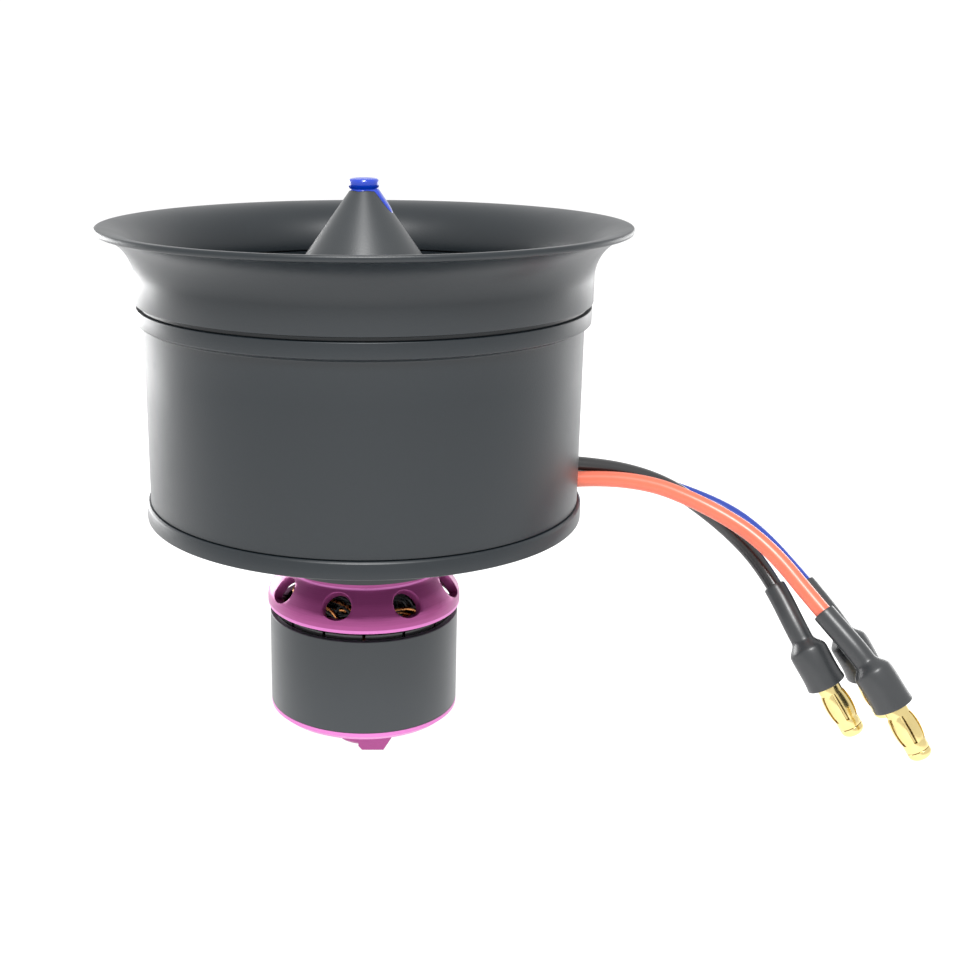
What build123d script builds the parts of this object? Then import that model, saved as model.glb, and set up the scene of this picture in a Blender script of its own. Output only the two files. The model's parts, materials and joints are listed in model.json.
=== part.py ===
from build123d import *
import math
import os

os.makedirs("parts", exist_ok=True)

# Electric ducted fan unit for a model jet, millimetres.
# The origin is on the fan's axis, in the plane of the duct's rear exit. +Z points at the intake.

# ------------------------------------------------------------------ clearances
press_gap = 0.01          # a bearing ring, shaft or glued piece in its seat
thread_gap = 0.02         # a screw in its tapped hole
slide_gap = 0.05          # a piece that slides home at assembly, and a ball in its races
tip_gap = 0.4             # fan blade tip to bore
hub_gap = 0.6             # fan hub to stator hub, and magnets to motor base

# ------------------------------------------------------------------ duct shroud and intake lip
bore_r = 32.0
shroud_wall = 1.4
duct_height = 32.75       # exit plane to the top of the collar
flange_step = 0.6         # how far the rear flange stands out from the body
flange_height = 2.6
collar_step = 1.0
collar_height = 2.25
shoulder_step = 0.5       # seat of the intake lip, inside the collar
groove_height = 0.65
spigot_height = 3.2
spigot_wall = 1.3
lip_skirt_wall = 2.55     # bore to the outside of the lip's skirt
lip_skirt_height = 3.9
lip_flare_r = 6.5
lip_flare_turn = 78       # degrees
lip_rim_thickness = 0.9
lip_throat_rise = 3.5     # lip's bottom edge to where the bell mouth starts

# ------------------------------------------------------------------ fan rotor, spinner and stator hub
hub_r = 15.2
hub_wall = 1.4
hub_bottom = -7.8         # underside of the stator hub
stator_hub_top = 18.6
hub_floor = 2.0
rotor_height = 11.65
rotor_web = 2.0
blade_count = 12
blade_root = (9.5, 1.5, 52)     # chord, thickness, angle from the plane of rotation
blade_middle = (12.5, 1.1, 38)
blade_tip = (14.0, 0.8, 30)
blade_camber = 0.9
spinner_height = 18.55
spinner_tip_r = 2.05
spinner_wall = 1.5
vane_count = 5
vane_chord = 15.5
vane_thickness = 1.6
vane_camber = 1.6
vane_bottom = 2.4
vane_lean = 15            # degrees
sleeve_wall = 0.65

# ------------------------------------------------------------------ motor
base_r = 15.5
base_top_r = 12.2
base_band_height = 1.8
base_cone_height = 4.7
base_rim_height = 1.3
base_wall = 1.6
base_plate = 2.0
base_hole_r = 2.25
base_hole_count = 8
base_hole_start = -107    # degrees from +X
base_hole_tilt = 40       # degrees, square to the sloping face
can_r = 15.17
can_wall = 1.0
can_length = 15.3
can_gap = 1.4             # motor base rim to the can's edge
bell_edge = 1.4
bell_chamfer = 0.8
bell_window_margin = 1.2
shaft_stub = 0.3          # the shaft beyond the boss
bell_boss_r = 4.8
bell_boss_length = 5.9
bell_lug_drop = 0.4       # how far the milled lug reaches below the boss
magnet_count = 14
magnet_thickness = 1.2
air_gap = 0.35
tooth_count = 12
tooth_width = 2.0
core_length = 10.0
core_shoe = 1.2
coil_overhang_top = 3.4
coil_overhang_bottom = 2.2
insulator = 0.5
shaft_r = 2.0
bearing_r = 4.5
bearing_width = 4.0
ball_r = 0.794
ball_count = 7
neck_wall = 1.1
neck_top = 1.0            # top of the bearing tube, inside the stator hub
screw_r = 1.5             # M3
screw_head_r = 2.75
screw_head_height = 1.8
screw_circle_r = 8.6
screw_angles = (60, 120, 240, 300)
stem_r = 2.5              # M5 stem of the adapter
spinner_screw_r = 1.0     # M2
spinner_screw_head_r = 1.5

# ------------------------------------------------------------------ leads and plugs
lead_r = 1.25
shrink_r = 1.7            # heat shrink on the lead
shrink_bulge_r = 2.9      # heat shrink over the solder cup
shrink_neck_length = 10.4
shrink_flare_start = -0.4  # along the plug, where the sleeve starts to swell
shrink_flare_length = 1.6
plug_r = 1.75             # 3.5 mm bullet
plug_cup_start = 1.6      # distances along the plug from the neck of its heat shrink
plug_collar_start = 5.6
plug_shrink_end = 6.4
plug_nose_start = 13.7
plug_end = 15.2
cup_r = 2.3
collar_plug_r = 2.45
pin_r = 1.2
cage_bow = 0.45           # how far the spring slats stand out
cage_thickness = 0.25

lead_clearance = 0.35     # round the leads, where they pass through a wall
splice_wall = 0.15
splice_length = 4.6
lead_pitch = 2 * (lead_r + splice_wall) + 0.1
solder_x = 9.1            # where the leads start, in the motor
solder_z = -13.0

# Routes of the leads, from the solder joints in the motor to the solder cups of the plugs.
red_route = [
    (solder_x, -lead_pitch, solder_z), (9.3, -2.3, 4.1), (27.0, -1.1, 4.6), (43.4, 0.3, 4.6),
    (54.2, -2.6, 0.8), (62.2, -7.9, -3.6), (68.8, -15.1, -11.5), (75.0, -22.0, -18.1), (77.9, -23.6, -23.1),
]
black_route = [
    (solder_x, 0.0, solder_z), (9.4, 0.2, 6.6), (29.0, 1.2, 7.3), (46.1, 3.0, 4.6), (57.0, 0.6, -2.6),
    (63.2, -5.8, -8.6), (67.3, -15.0, -17.9), (70.3, -16.5, -22.9),
]
blue_route = [
    (solder_x, lead_pitch, solder_z), (9.3, 2.6, 4.2), (27.0, 2.4, 4.5), (42.3, 6.2, 3.7), (56.0, 5.2, -0.6),
    (62.3, -0.6, -3.4), (69.0, -7.6, -10.5), (74.4, -13.4, -17.3), (77.4, -12.9, -22.5),
]

# ------------------------------------------------------------------ heights and radii that follow
body_r = bore_r + shroud_wall
flange_r = body_r + flange_step
collar_r = body_r + collar_step
spigot_bottom = duct_height + groove_height
spigot_top = spigot_bottom + spigot_height
spigot_r = bore_r + spigot_wall
lip_skirt_r = bore_r + lip_skirt_wall
rotor_bottom = stator_hub_top + hub_gap
rotor_top = rotor_bottom + rotor_height
hub_inner_r = hub_r - hub_wall
spinner_tip = rotor_top + spinner_height
base_bottom = hub_bottom - base_band_height - base_cone_height - base_rim_height
can_top = base_bottom - can_gap
can_bottom = can_top - can_length
bell_bottom = can_bottom - bell_edge
boss_bottom = bell_bottom - bell_boss_length
magnet_r = can_r - can_wall - press_gap
core_r = magnet_r - magnet_thickness - air_gap
neck_r = bearing_r + neck_wall
neck_bottom = can_bottom + 0.9
core_top = can_top - 1.8
core_bottom = core_top - core_length
front_bearing = neck_top - bearing_width / 2
rear_bearing = neck_bottom + bearing_width / 2
adapter_bottom = neck_top + 7.0
adapter_flange_top = rotor_bottom + 0.7
shaft_top = stator_hub_top - 1.6
stem_top = rotor_top + 2.15
nut_bottom = rotor_bottom + 8.2


def turned(profile):
    """A solid turned about the Z axis from its half outline of (radius, height) points."""
    with BuildPart() as body:
        with BuildSketch(Plane.XZ):
            with BuildLine():
                Polyline(*profile, close=True)
            make_face()
        revolve(axis=Axis.Z)
    return body.part


def ring(inner, outer, bottom, top):
    """A plain ring, or a disc where the inner radius is 0."""
    with BuildPart() as body:
        with BuildSketch(Plane.XY.offset(bottom)):
            Circle(outer)
            if inner > 0:
                Circle(inner, mode=Mode.SUBTRACT)
        extrude(amount=top - bottom)
    return body.part


def radial_plane(angle, radius, height):
    """A plane that faces outwards from the axis at an angle in degrees from +X."""
    turn = math.radians(angle)
    outward = (math.cos(turn), math.sin(turn), 0)
    return Plane(origin=(radius * outward[0], radius * outward[1], height), z_dir=outward)


def radial_rods(angles, radius, inner, outer, height):
    """Round rods that point outwards from the axis, such as grub screws."""
    with BuildPart() as body:
        for angle in angles:
            with BuildSketch(radial_plane(angle, inner, height)):
                Circle(radius)
            extrude(amount=outer - inner)
    return body.part


def save(part, name):
    part.label = name
    export_step(part, f"parts/{name}.step")


def crossing(route, distance):
    """Where a route's runs pass a distance from the axis, as (across, up)."""
    for start, end in zip(route, route[1:]):
        if start[0] <= distance <= end[0]:
            share = (distance - start[0]) / (end[0] - start[0])
            return tuple(s + share * (e - s) for s, e in zip(start[1:], end[1:]))


def lead_floor_opening():
    """The opening in a floor for the three leads, where they rise from their solder joints."""
    with BuildSketch() as opening:
        with Locations((solder_x, 0)):
            RectangleRounded(
                2 * (lead_r + lead_clearance), 2 * (lead_pitch + lead_r + lead_clearance), lead_r
            )
    return opening.sketch


# ------------------------------------------------------------------ duct shroud
# The leads pass the wall between the flange's top and the highest lead.
slot_plane = Plane.YZ.offset((hub_r + bore_r) / 2)
slot_reach = flange_r - hub_r
crossings = [crossing(route, body_r) for route in (red_route, black_route, blue_route)]
slot_margin = lead_r + lead_clearance
slot_left = min(across for across, up in crossings) - slot_margin
slot_right = max(across for across, up in crossings) + slot_margin
slot_top = max(up for across, up in crossings) + slot_margin

with BuildPart() as duct_shroud:
    sleeve_seat_r = bore_r + sleeve_wall + slide_gap
    with BuildSketch(Plane.XZ):
        with BuildLine():
            Polyline(
                (sleeve_seat_r, flange_height),
                (body_r, flange_height),
                (body_r, duct_height - collar_height - collar_step / 2),
                (collar_r, duct_height - collar_height),
                (collar_r, duct_height),
                (body_r + shoulder_step, duct_height),
                (body_r + shoulder_step, spigot_bottom),
                (spigot_r, spigot_bottom),
                (spigot_r, spigot_top),
                (bore_r + 0.4, spigot_top),
                (bore_r, spigot_top - 0.4),
                (bore_r, stator_hub_top),
                (sleeve_seat_r, stator_hub_top),
                close=True,
            )
        make_face()
    revolve(axis=Axis.Z)
    # The notch for the leads is open at the rear edge, where the stator's flange closes it.
    with BuildSketch(slot_plane):
        with Locations(((slot_left + slot_right) / 2, slot_top / 2)):
            Rectangle(slot_right - slot_left, slot_top)
    extrude(amount=slot_reach, mode=Mode.SUBTRACT)
save(duct_shroud.part, "duct_shroud")

# ------------------------------------------------------------------ intake lip
with BuildPart() as intake_lip:
    seat_r = spigot_r + slide_gap
    throat = spigot_bottom + lip_throat_rise
    flare_bottom = spigot_bottom + lip_skirt_height
    turn = math.radians(lip_flare_turn)
    flare_mid = (
        lip_skirt_r + lip_flare_r * (1 - math.cos(turn / 2)),
        flare_bottom + lip_flare_r * math.sin(turn / 2),
    )
    flare_end = (
        lip_skirt_r + lip_flare_r * (1 - math.cos(turn)),
        flare_bottom + lip_flare_r * math.sin(turn),
    )
    rim_top = (flare_end[0] - 0.15, flare_end[1] + lip_rim_thickness)
    mouth = (rim_top[0] - bore_r, rim_top[1] - throat)
    with BuildSketch(Plane.XZ):
        with BuildLine():
            Polyline((seat_r, spigot_bottom), (lip_skirt_r, spigot_bottom), (lip_skirt_r, flare_bottom))
            ThreePointArc((lip_skirt_r, flare_bottom), flare_mid, flare_end)
            rim_bulge = (flare_end[0] + lip_rim_thickness * 0.35, (flare_end[1] + rim_top[1]) / 2)
            ThreePointArc(flare_end, rim_bulge, rim_top)
            EllipticalCenterArc((rim_top[0], throat), *mouth, start_angle=90, arc_size=90)
            Polyline((bore_r, throat), (seat_r, throat), (seat_r, spigot_bottom))
        make_face()
    revolve(axis=Axis.Z)
save(intake_lip.part, "intake_lip")

# ------------------------------------------------------------------ stator: flange, sleeve, vanes and hub
with BuildPart() as vane:
    for radius in (hub_r - hub_wall / 2, bore_r + sleeve_wall / 2):
        lean = math.radians(vane_lean)
        up_the_chord = (0, -math.sin(lean), math.cos(lean))
        middle = vane_bottom + vane_chord / 2
        with BuildSketch(Plane(origin=(radius, 0, middle), x_dir=up_the_chord, z_dir=(1, 0, 0))):
            with BuildLine():
                ends = ((-vane_chord / 2, 0), (vane_chord / 2, 0))
                ThreePointArc(ends[0], (0, -vane_camber - vane_thickness / 2), ends[1])
                ThreePointArc(ends[1], (0, -vane_camber + vane_thickness / 2), ends[0])
            make_face()
    loft()

with BuildPart() as stator:
    sleeve_r = bore_r + sleeve_wall
    with BuildSketch(Plane.XZ):
        with BuildLine():
            Polyline(
                (bore_r, 0),
                (flange_r, 0),
                (flange_r, flange_height - 0.35),
                (flange_r - 0.35, flange_height),
                (sleeve_r, flange_height),
                (sleeve_r, stator_hub_top - slide_gap),
                (bore_r, stator_hub_top - slide_gap),
                close=True,
            )
        make_face()
        with BuildLine():
            Polyline(
                (neck_r + slide_gap, hub_bottom),
                (hub_r, hub_bottom),
                (hub_r, stator_hub_top),
                (hub_inner_r, stator_hub_top),
                (hub_inner_r, hub_bottom + hub_floor),
                (neck_r + slide_gap, hub_bottom + hub_floor),
                close=True,
            )
        make_face()
    revolve(axis=Axis.Z)
    with PolarLocations(0, vane_count, start_angle=180 / vane_count):
        add(vane.part)
    # Openings for the motor screws and the leads.
    with BuildSketch(Plane.XY.offset(hub_bottom)):
        for angle in screw_angles:
            with Locations(Location((0, 0, 0), (0, 0, angle))):
                with Locations((screw_circle_r, 0)):
                    Circle(screw_r + slide_gap)
        add(lead_floor_opening())
    extrude(amount=hub_floor, mode=Mode.SUBTRACT)
    window_top = black_route[1][2] + lead_r + lead_clearance
    with BuildSketch(Plane.YZ.offset(hub_inner_r - 3)):
        with Locations((0, window_top / 2)):
            RectangleRounded(2 * (lead_pitch + lead_r + lead_clearance), window_top, lead_r)
    extrude(amount=hub_wall + 4, mode=Mode.SUBTRACT)
    with BuildSketch(slot_plane):
        with Locations(((slot_left + slot_right) / 2, (flange_height + slot_top) / 2)):
            Rectangle(slot_right - slot_left, slot_top - flange_height)
    extrude(amount=slot_reach, mode=Mode.SUBTRACT)
save(stator.part, "stator")

# ------------------------------------------------------------------ motor base with its bearing tube
cone_top = hub_bottom - base_band_height
cone_bottom = cone_top - base_cone_height
shoulder_top = core_top + insulator + 1.0
seat_bore = bearing_r + press_gap
tube_bore = bearing_r - 1.0

with BuildPart() as motor_base:
    with BuildSketch(Plane.XZ):
        with BuildLine():
            Polyline(
                (seat_bore, neck_top),
                (neck_r, neck_top),
                (neck_r, hub_bottom),
                (base_top_r, hub_bottom),
                (base_top_r, cone_top),
                (base_top_r + 1.7, cone_top - 1.8),
                (base_r - 0.2, cone_bottom + 1.0),
                (base_r, cone_bottom),
                (base_r, base_bottom),
                (base_r - base_wall, base_bottom),
                (base_r - base_wall - 0.3, cone_bottom + 0.7),
                (base_top_r, cone_top - 2.2),
                (base_top_r - 1.4, hub_bottom - base_plate),
                (neck_r, hub_bottom - base_plate),
                (neck_r, shoulder_top),
                (neck_r + 0.8, shoulder_top),
                (neck_r + 0.8, core_top + insulator),
                (neck_r, core_top + insulator),
                (neck_r, neck_bottom),
                (seat_bore, neck_bottom),
                (seat_bore, neck_bottom + bearing_width),
                (tube_bore, neck_bottom + bearing_width),
                (tube_bore, neck_top - bearing_width),
                (seat_bore, neck_top - bearing_width),
                close=True,
            )
        make_face()
    revolve(axis=Axis.Z)
    # Eight cooling holes, square to the sloping face.
    hole_tilt = math.radians(base_hole_tilt)
    for index in range(base_hole_count):
        turn = math.radians(base_hole_start + index * 360 / base_hole_count)
        outward = Vector(
            math.cos(hole_tilt) * math.cos(turn),
            math.cos(hole_tilt) * math.sin(turn),
            math.sin(hole_tilt),
        )
        face_r = (base_top_r + base_r) / 2
        centre = Vector(face_r * math.cos(turn), face_r * math.sin(turn), cone_top - base_cone_height / 2)
        with BuildSketch(Plane(origin=centre, z_dir=outward)):
            Circle(base_hole_r)
        extrude(amount=3.0, both=True, mode=Mode.SUBTRACT)
    with BuildSketch(Plane.XY.offset(hub_bottom - base_plate)):
        for angle in screw_angles:
            with Locations(Location((0, 0, 0), (0, 0, angle))):
                with Locations((screw_circle_r, 0)):
                    Circle(screw_r + thread_gap)
        add(lead_floor_opening())
    extrude(amount=base_plate, mode=Mode.SUBTRACT)
save(motor_base.part, "motor_base")

with BuildPart() as motor_screws:
    head_seat = hub_bottom + hub_floor
    for angle in screw_angles:
        turn = math.radians(angle)
        spot = (screw_circle_r * math.cos(turn), screw_circle_r * math.sin(turn))
        with BuildSketch(Plane.XY.offset(hub_bottom - base_plate + 0.2)):
            with Locations(spot):
                Circle(screw_r)
        extrude(amount=hub_floor + base_plate - 0.2)
        with BuildSketch(Plane.XY.offset(head_seat)):
            with Locations(spot):
                Circle(screw_head_r)
        extrude(amount=screw_head_height)
        with BuildSketch(Plane.XY.offset(head_seat + screw_head_height)):
            with Locations(spot):
                RegularPolygon(1.15, 6)
        extrude(amount=-1.2, mode=Mode.SUBTRACT)
save(motor_screws.part, "motor_screws")

# ------------------------------------------------------------------ motor core, insulators and windings
root_r = neck_r + slide_gap + 1.8
tooth_pitch = 360 / tooth_count
shoe_half = math.radians(tooth_pitch * 0.4)


with BuildSketch() as tooth_shoe:
    with BuildLine():
        shoe_ends = [(core_r * math.cos(a), core_r * math.sin(a)) for a in (-shoe_half, shoe_half)]
        shoe_neck = core_r - core_shoe
        ThreePointArc(shoe_ends[0], (core_r, 0), shoe_ends[1])
        Polyline(shoe_ends[1], (shoe_neck, tooth_width / 2), (shoe_neck, -tooth_width / 2), shoe_ends[0])
    make_face()


def core_outline(grow, bore):
    """The sketch of the toothed core: a round root, straight teeth and a shoe on each tooth."""
    with BuildSketch() as outline:
        Circle(root_r)
        with PolarLocations(0, tooth_count):
            add(tooth_shoe.sketch)
        with PolarLocations((root_r + core_r) / 2 - 0.4, tooth_count):
            Rectangle(core_r - root_r, tooth_width + grow)
        Circle(bore, mode=Mode.SUBTRACT)
    return outline.sketch


with BuildPart() as stator_core:
    with BuildSketch(Plane.XY.offset(core_bottom)):
        add(core_outline(0, neck_r + press_gap))
    extrude(amount=core_length)
save(stator_core.part, "stator_core")

with BuildPart() as core_insulators:
    for level in (core_bottom - insulator, core_top):
        with BuildSketch(Plane.XY.offset(level)):
            add(core_outline(0.3, neck_r + press_gap))
        extrude(amount=insulator)
save(core_insulators.part, "core_insulators")

with BuildPart() as coil:
    inner_x = root_r + 0.15
    outer_x = core_r - core_shoe - 0.2
    slot_edge = math.tan(math.radians(tooth_pitch / 2))
    with BuildSketch(Plane.XY.offset(core_bottom - coil_overhang_bottom)):
        with BuildLine():
            inner_y = inner_x * slot_edge - 0.1
            outer_y = min(outer_x * slot_edge - 0.2, tooth_width / 2 + 1.7)
            Polyline(
                (inner_x, -inner_y), (outer_x, -outer_y), (outer_x, outer_y), (inner_x, inner_y), close=True
            )
        make_face()
    extrude(amount=core_length + coil_overhang_bottom + coil_overhang_top)
    round_edges = coil.edges().group_by(Axis.Z)[0] + coil.edges().group_by(Axis.Z)[-1]
    fillet(round_edges.filter_by(lambda edge: abs(edge.tangent_at(0.5).X) > 0.7), 0.9)
    with BuildSketch(Plane.XY.offset(core_bottom - insulator - 0.05)):
        with Locations(((inner_x + outer_x) / 2, 0)):
            Rectangle(outer_x - inner_x + 1, tooth_width + 0.4)
    extrude(amount=core_length + 2 * insulator + 0.1, mode=Mode.SUBTRACT)

phase_teeth = {"a": (0, 1, 6, 7), "b": (2, 3, 8, 9), "c": (4, 5, 10, 11)}
for phase, teeth in phase_teeth.items():
    with BuildPart() as winding:
        for tooth in teeth:
            with Locations(Location((0, 0, 0), (0, 0, tooth * tooth_pitch))):
                add(coil.part)
    save(winding.part, f"winding_{phase}")

# ------------------------------------------------------------------ bearings
race_step = 0.45
pitch_r = (shaft_r + bearing_r) / 2
inner_race_r = pitch_r - race_step
outer_race_r = pitch_r + race_step

with BuildPart() as groove:
    with BuildSketch(Plane.XZ):
        with Locations((pitch_r, 0)):
            Circle(ball_r + slide_gap)
    revolve(axis=Axis.Z)

for place, middle in (("front", front_bearing), ("rear", rear_bearing)):
    low = middle - bearing_width / 2
    high = middle + bearing_width / 2

    with BuildPart() as outer_ring:
        add(ring(outer_race_r, bearing_r, low, high))
        with Locations((0, 0, middle)):
            add(groove.part, mode=Mode.SUBTRACT)
    save(outer_ring.part, f"{place}_bearing_outer")

    with BuildPart() as inner_ring:
        add(ring(shaft_r + press_gap, inner_race_r, low, high))
        with Locations((0, 0, middle)):
            add(groove.part, mode=Mode.SUBTRACT)
    save(inner_ring.part, f"{place}_bearing_inner")

    with BuildPart() as shields:
        for level in (low + 0.1, high - 0.35):
            add(ring(inner_race_r + 0.15, outer_race_r - press_gap, level, level + 0.25))
    save(shields.part, f"{place}_bearing_shields")

    with BuildPart() as balls:
        with Locations((0, 0, middle)):
            with PolarLocations(pitch_r, ball_count):
                Sphere(ball_r)
    save(balls.part, f"{place}_bearing_balls")

    with BuildPart() as cage:
        add(ring(pitch_r - 0.28, pitch_r + 0.28, middle - 1.25, middle + 1.25))
        pocket_angles = [index * 360 / ball_count for index in range(ball_count)]
        pockets = radial_rods(pocket_angles, ball_r + slide_gap, pitch_r - 1, pitch_r + 1, middle)
        add(pockets, mode=Mode.SUBTRACT)
    save(cage.part, f"{place}_bearing_cage")

# ------------------------------------------------------------------ motor can, magnets and end bell
save(ring(can_r - can_wall, can_r, can_bottom, can_top), "motor_can")

with BuildPart() as magnet:
    magnet_half = 360 / magnet_count * 0.46
    with BuildSketch(Plane.XY.offset(can_bottom + 1.0)):
        with BuildLine():
            inside = magnet_r - magnet_thickness
            outer_arc = CenterArc((0, 0), magnet_r, -magnet_half, 2 * magnet_half)
            inner_arc = CenterArc((0, 0), inside, -magnet_half, 2 * magnet_half)
            Line(outer_arc @ 0, inner_arc @ 0)
            Line(outer_arc @ 1, inner_arc @ 1)
        make_face()
    extrude(amount=can_length - 0.3)

with BuildPart() as magnets:
    with PolarLocations(0, magnet_count):
        add(magnet.part)
save(magnets.part, "magnets")

with BuildPart() as end_bell:
    bore = shaft_r + press_gap
    with BuildSketch(Plane.XZ):
        with BuildLine():
            Polyline(
                (bore, boss_bottom),
                (bell_boss_r - 0.5, boss_bottom),
                (bell_boss_r, boss_bottom + 0.5),
                (bell_boss_r, bell_bottom),
                (can_r - bell_chamfer - 0.1, bell_bottom),
                (can_r, bell_bottom + bell_chamfer),
                (can_r, can_bottom),
                (can_r - can_wall - slide_gap, can_bottom),
                (can_r - can_wall - slide_gap, can_bottom + 0.8),
                (can_r - can_wall - 1.3, can_bottom + 0.8),
                (can_r - can_wall - 1.3, can_bottom),
                (shaft_r + 1.2, can_bottom),
                (shaft_r + 1.2, neck_bottom - 0.36),
                (bore, neck_bottom - 0.36),
                close=True,
            )
        make_face()
    revolve(axis=Axis.Z)
    # The milled lug on one side of the boss.
    lug_bottom = boss_bottom - bell_lug_drop
    with BuildSketch(Plane.XZ.offset(bell_boss_r + 0.8)):
        with BuildLine():
            Polyline(
                (-0.9, bell_bottom + 0.3),
                (-0.9, lug_bottom + 0.7),
                (-0.3, lug_bottom),
                (3.2, lug_bottom),
                (4.4, lug_bottom + 2.0),
                (5.2, lug_bottom + 3.4),
                (5.2, bell_bottom + 0.3),
                close=True,
            )
        make_face()
    extrude(amount=-(bell_boss_r - shaft_r - 0.4))
    window_circle = (bell_boss_r + can_r - can_wall - 1.3) / 2
    with BuildSketch(Plane.XY.offset(bell_bottom)):
        with PolarLocations(window_circle, 6, start_angle=30):
            Circle((can_r - can_wall - 1.3 - bell_boss_r) / 2 - bell_window_margin)
    extrude(amount=bell_edge, mode=Mode.SUBTRACT)
    grub_height = (boss_bottom + bell_bottom) / 2
    grub_angles = (100, 190)
    add(
        radial_rods(grub_angles, screw_r + thread_gap, shaft_r - 0.5, bell_boss_r + 1, grub_height),
        mode=Mode.SUBTRACT,
    )
save(end_bell.part, "end_bell")


def grub_screws(angles, outer, height):
    """Two set screws, each with a hexagon socket, from the shaft's skin to their outer end."""
    with BuildPart() as screws:
        add(radial_rods(angles, screw_r, shaft_r + press_gap, outer, height))
        for angle in angles:
            with BuildSketch(radial_plane(angle, outer, height)):
                RegularPolygon(0.85, 6)
            extrude(amount=-1.2, mode=Mode.SUBTRACT)
    return screws.part


save(grub_screws(grub_angles, bell_boss_r - 0.3, grub_height), "shaft_grub_screws")

# ------------------------------------------------------------------ shaft, clip and shims
clip_bottom = neck_top + 0.35
clip_groove_r = shaft_r - 0.35

save(
    turned([
        (0, boss_bottom - shaft_stub),
        (shaft_r - 0.2, boss_bottom - shaft_stub),
        (shaft_r, boss_bottom - shaft_stub + 0.2),
        (shaft_r, clip_bottom - 0.02),
        (clip_groove_r, clip_bottom - 0.02),
        (clip_groove_r, clip_bottom + 0.62),
        (shaft_r, clip_bottom + 0.62),
        (shaft_r, shaft_top - 0.3),
        (shaft_r - 0.3, shaft_top),
        (0, shaft_top),
    ]),
    "shaft",
)

with BuildPart() as retaining_clip:
    add(ring(clip_groove_r + press_gap, shaft_r + 1.6, clip_bottom, clip_bottom + 0.6))
    with BuildSketch(Plane.XY.offset(clip_bottom)):
        with Locations((0, -shaft_r - 1)):
            Rectangle(2 * clip_groove_r - 0.4, 2 * shaft_r + 1)
    extrude(amount=0.6, mode=Mode.SUBTRACT)
save(retaining_clip.part, "retaining_clip")

with BuildPart() as shim_washers:
    add(ring(shaft_r + slide_gap, inner_race_r, neck_top + 0.01, clip_bottom - 0.01))
    add(ring(shaft_r + slide_gap, inner_race_r, neck_bottom - 0.35, neck_bottom - 0.01))
save(shim_washers.part, "shim_washers")

# ------------------------------------------------------------------ adapter, fan rotor, nut and washer
adapter_r = shaft_r + 2.8
adapter_grub_height = adapter_bottom + 3.5
adapter_grub_angles = (90, 270)

with BuildPart() as hub_adapter:
    add(turned([
        (shaft_r + press_gap, adapter_bottom),
        (adapter_r - 0.3, adapter_bottom),
        (adapter_r, adapter_bottom + 0.3),
        (adapter_r, adapter_flange_top - 1.5),
        (adapter_r + 1.7, adapter_flange_top - 1.5),
        (adapter_r + 1.7, adapter_flange_top),
        (stem_r, adapter_flange_top),
        (stem_r, stem_top - 0.4),
        (stem_r - 0.4, stem_top),
        (spinner_screw_r + thread_gap, stem_top),
        (spinner_screw_r + thread_gap, stem_top - 7),
        (0, stem_top - 7),
        (0, shaft_top + 0.05),
        (shaft_r + press_gap, shaft_top + 0.05),
    ]))
    add(
        radial_rods(adapter_grub_angles, screw_r + thread_gap, shaft_r - 0.5, adapter_r + 1,
                    adapter_grub_height),
        mode=Mode.SUBTRACT,
    )
save(hub_adapter.part, "hub_adapter")
save(grub_screws(adapter_grub_angles, adapter_r - 0.1, adapter_grub_height), "adapter_grub_screws")

blade_tip_r = bore_r - tip_gap
blade_height = rotor_bottom + rotor_height / 2

with BuildPart() as blade:
    stations = (hub_r - hub_wall / 2, (hub_r + bore_r) / 2, bore_r + 0.5)
    for radius, (chord, thickness, angle) in zip(stations, (blade_root, blade_middle, blade_tip)):
        pitch = math.radians(angle)
        along_chord = (0, math.cos(pitch), math.sin(pitch))
        with BuildSketch(Plane(origin=(radius, 0, blade_height), x_dir=along_chord, z_dir=(1, 0, 0))):
            with BuildLine():
                ends = ((-chord / 2, 0), (chord / 2, 0))
                ThreePointArc(ends[0], (0, blade_camber + thickness / 2), ends[1])
                ThreePointArc(ends[1], (0, blade_camber - thickness / 2), ends[0])
            make_face()
    loft()

with BuildPart() as fan_rotor:
    boss_r = stem_r + 3.3
    web_bottom = rotor_bottom + 2.8
    with BuildSketch(Plane.XZ):
        with BuildLine():
            Polyline(
                (stem_r + slide_gap, adapter_flange_top),
                (boss_r, adapter_flange_top),
                (boss_r, web_bottom),
                (hub_inner_r, web_bottom),
                (hub_inner_r, rotor_bottom),
                (hub_r, rotor_bottom),
                (hub_r, rotor_top),
                (hub_inner_r, rotor_top),
                (hub_inner_r, web_bottom + rotor_web),
                (boss_r, web_bottom + rotor_web),
                (boss_r, nut_bottom - 0.8),
                (stem_r + slide_gap, nut_bottom - 0.8),
                close=True,
            )
        make_face()
    revolve(axis=Axis.Z)
    with PolarLocations(0, blade_count):
        add(blade.part)
    with BuildSketch(Plane.XY.offset(rotor_bottom - 1)):
        Circle(blade_tip_r)
    extrude(amount=rotor_height + 2, mode=Mode.INTERSECT)
save(fan_rotor.part, "fan_rotor")

save(ring(stem_r + slide_gap, stem_r + 2.5, nut_bottom - 0.8, nut_bottom), "rotor_washer")

with BuildPart() as rotor_nut:
    with BuildSketch(Plane.XY.offset(nut_bottom)):
        RegularPolygon(stem_r * 1.6, 6, major_radius=False)
        Circle(stem_r + thread_gap, mode=Mode.SUBTRACT)
    extrude(amount=stem_r * 1.6)
    chamfer(rotor_nut.edges().filter_by(GeomType.CIRCLE), 0.3)
save(rotor_nut.part, "rotor_nut")

# ------------------------------------------------------------------ spinner, its screw and the seal over it
spinner_slope = (hub_r - spinner_tip_r) / spinner_height
screw_head_seat = spinner_tip - 1.7
cavity_top = spinner_tip - (spinner_screw_head_r + 1.8) / spinner_slope
cavity_top_r = spinner_tip_r + spinner_slope * (spinner_tip - cavity_top) - spinner_wall
screw_hole_r = spinner_screw_r + slide_gap

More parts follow.
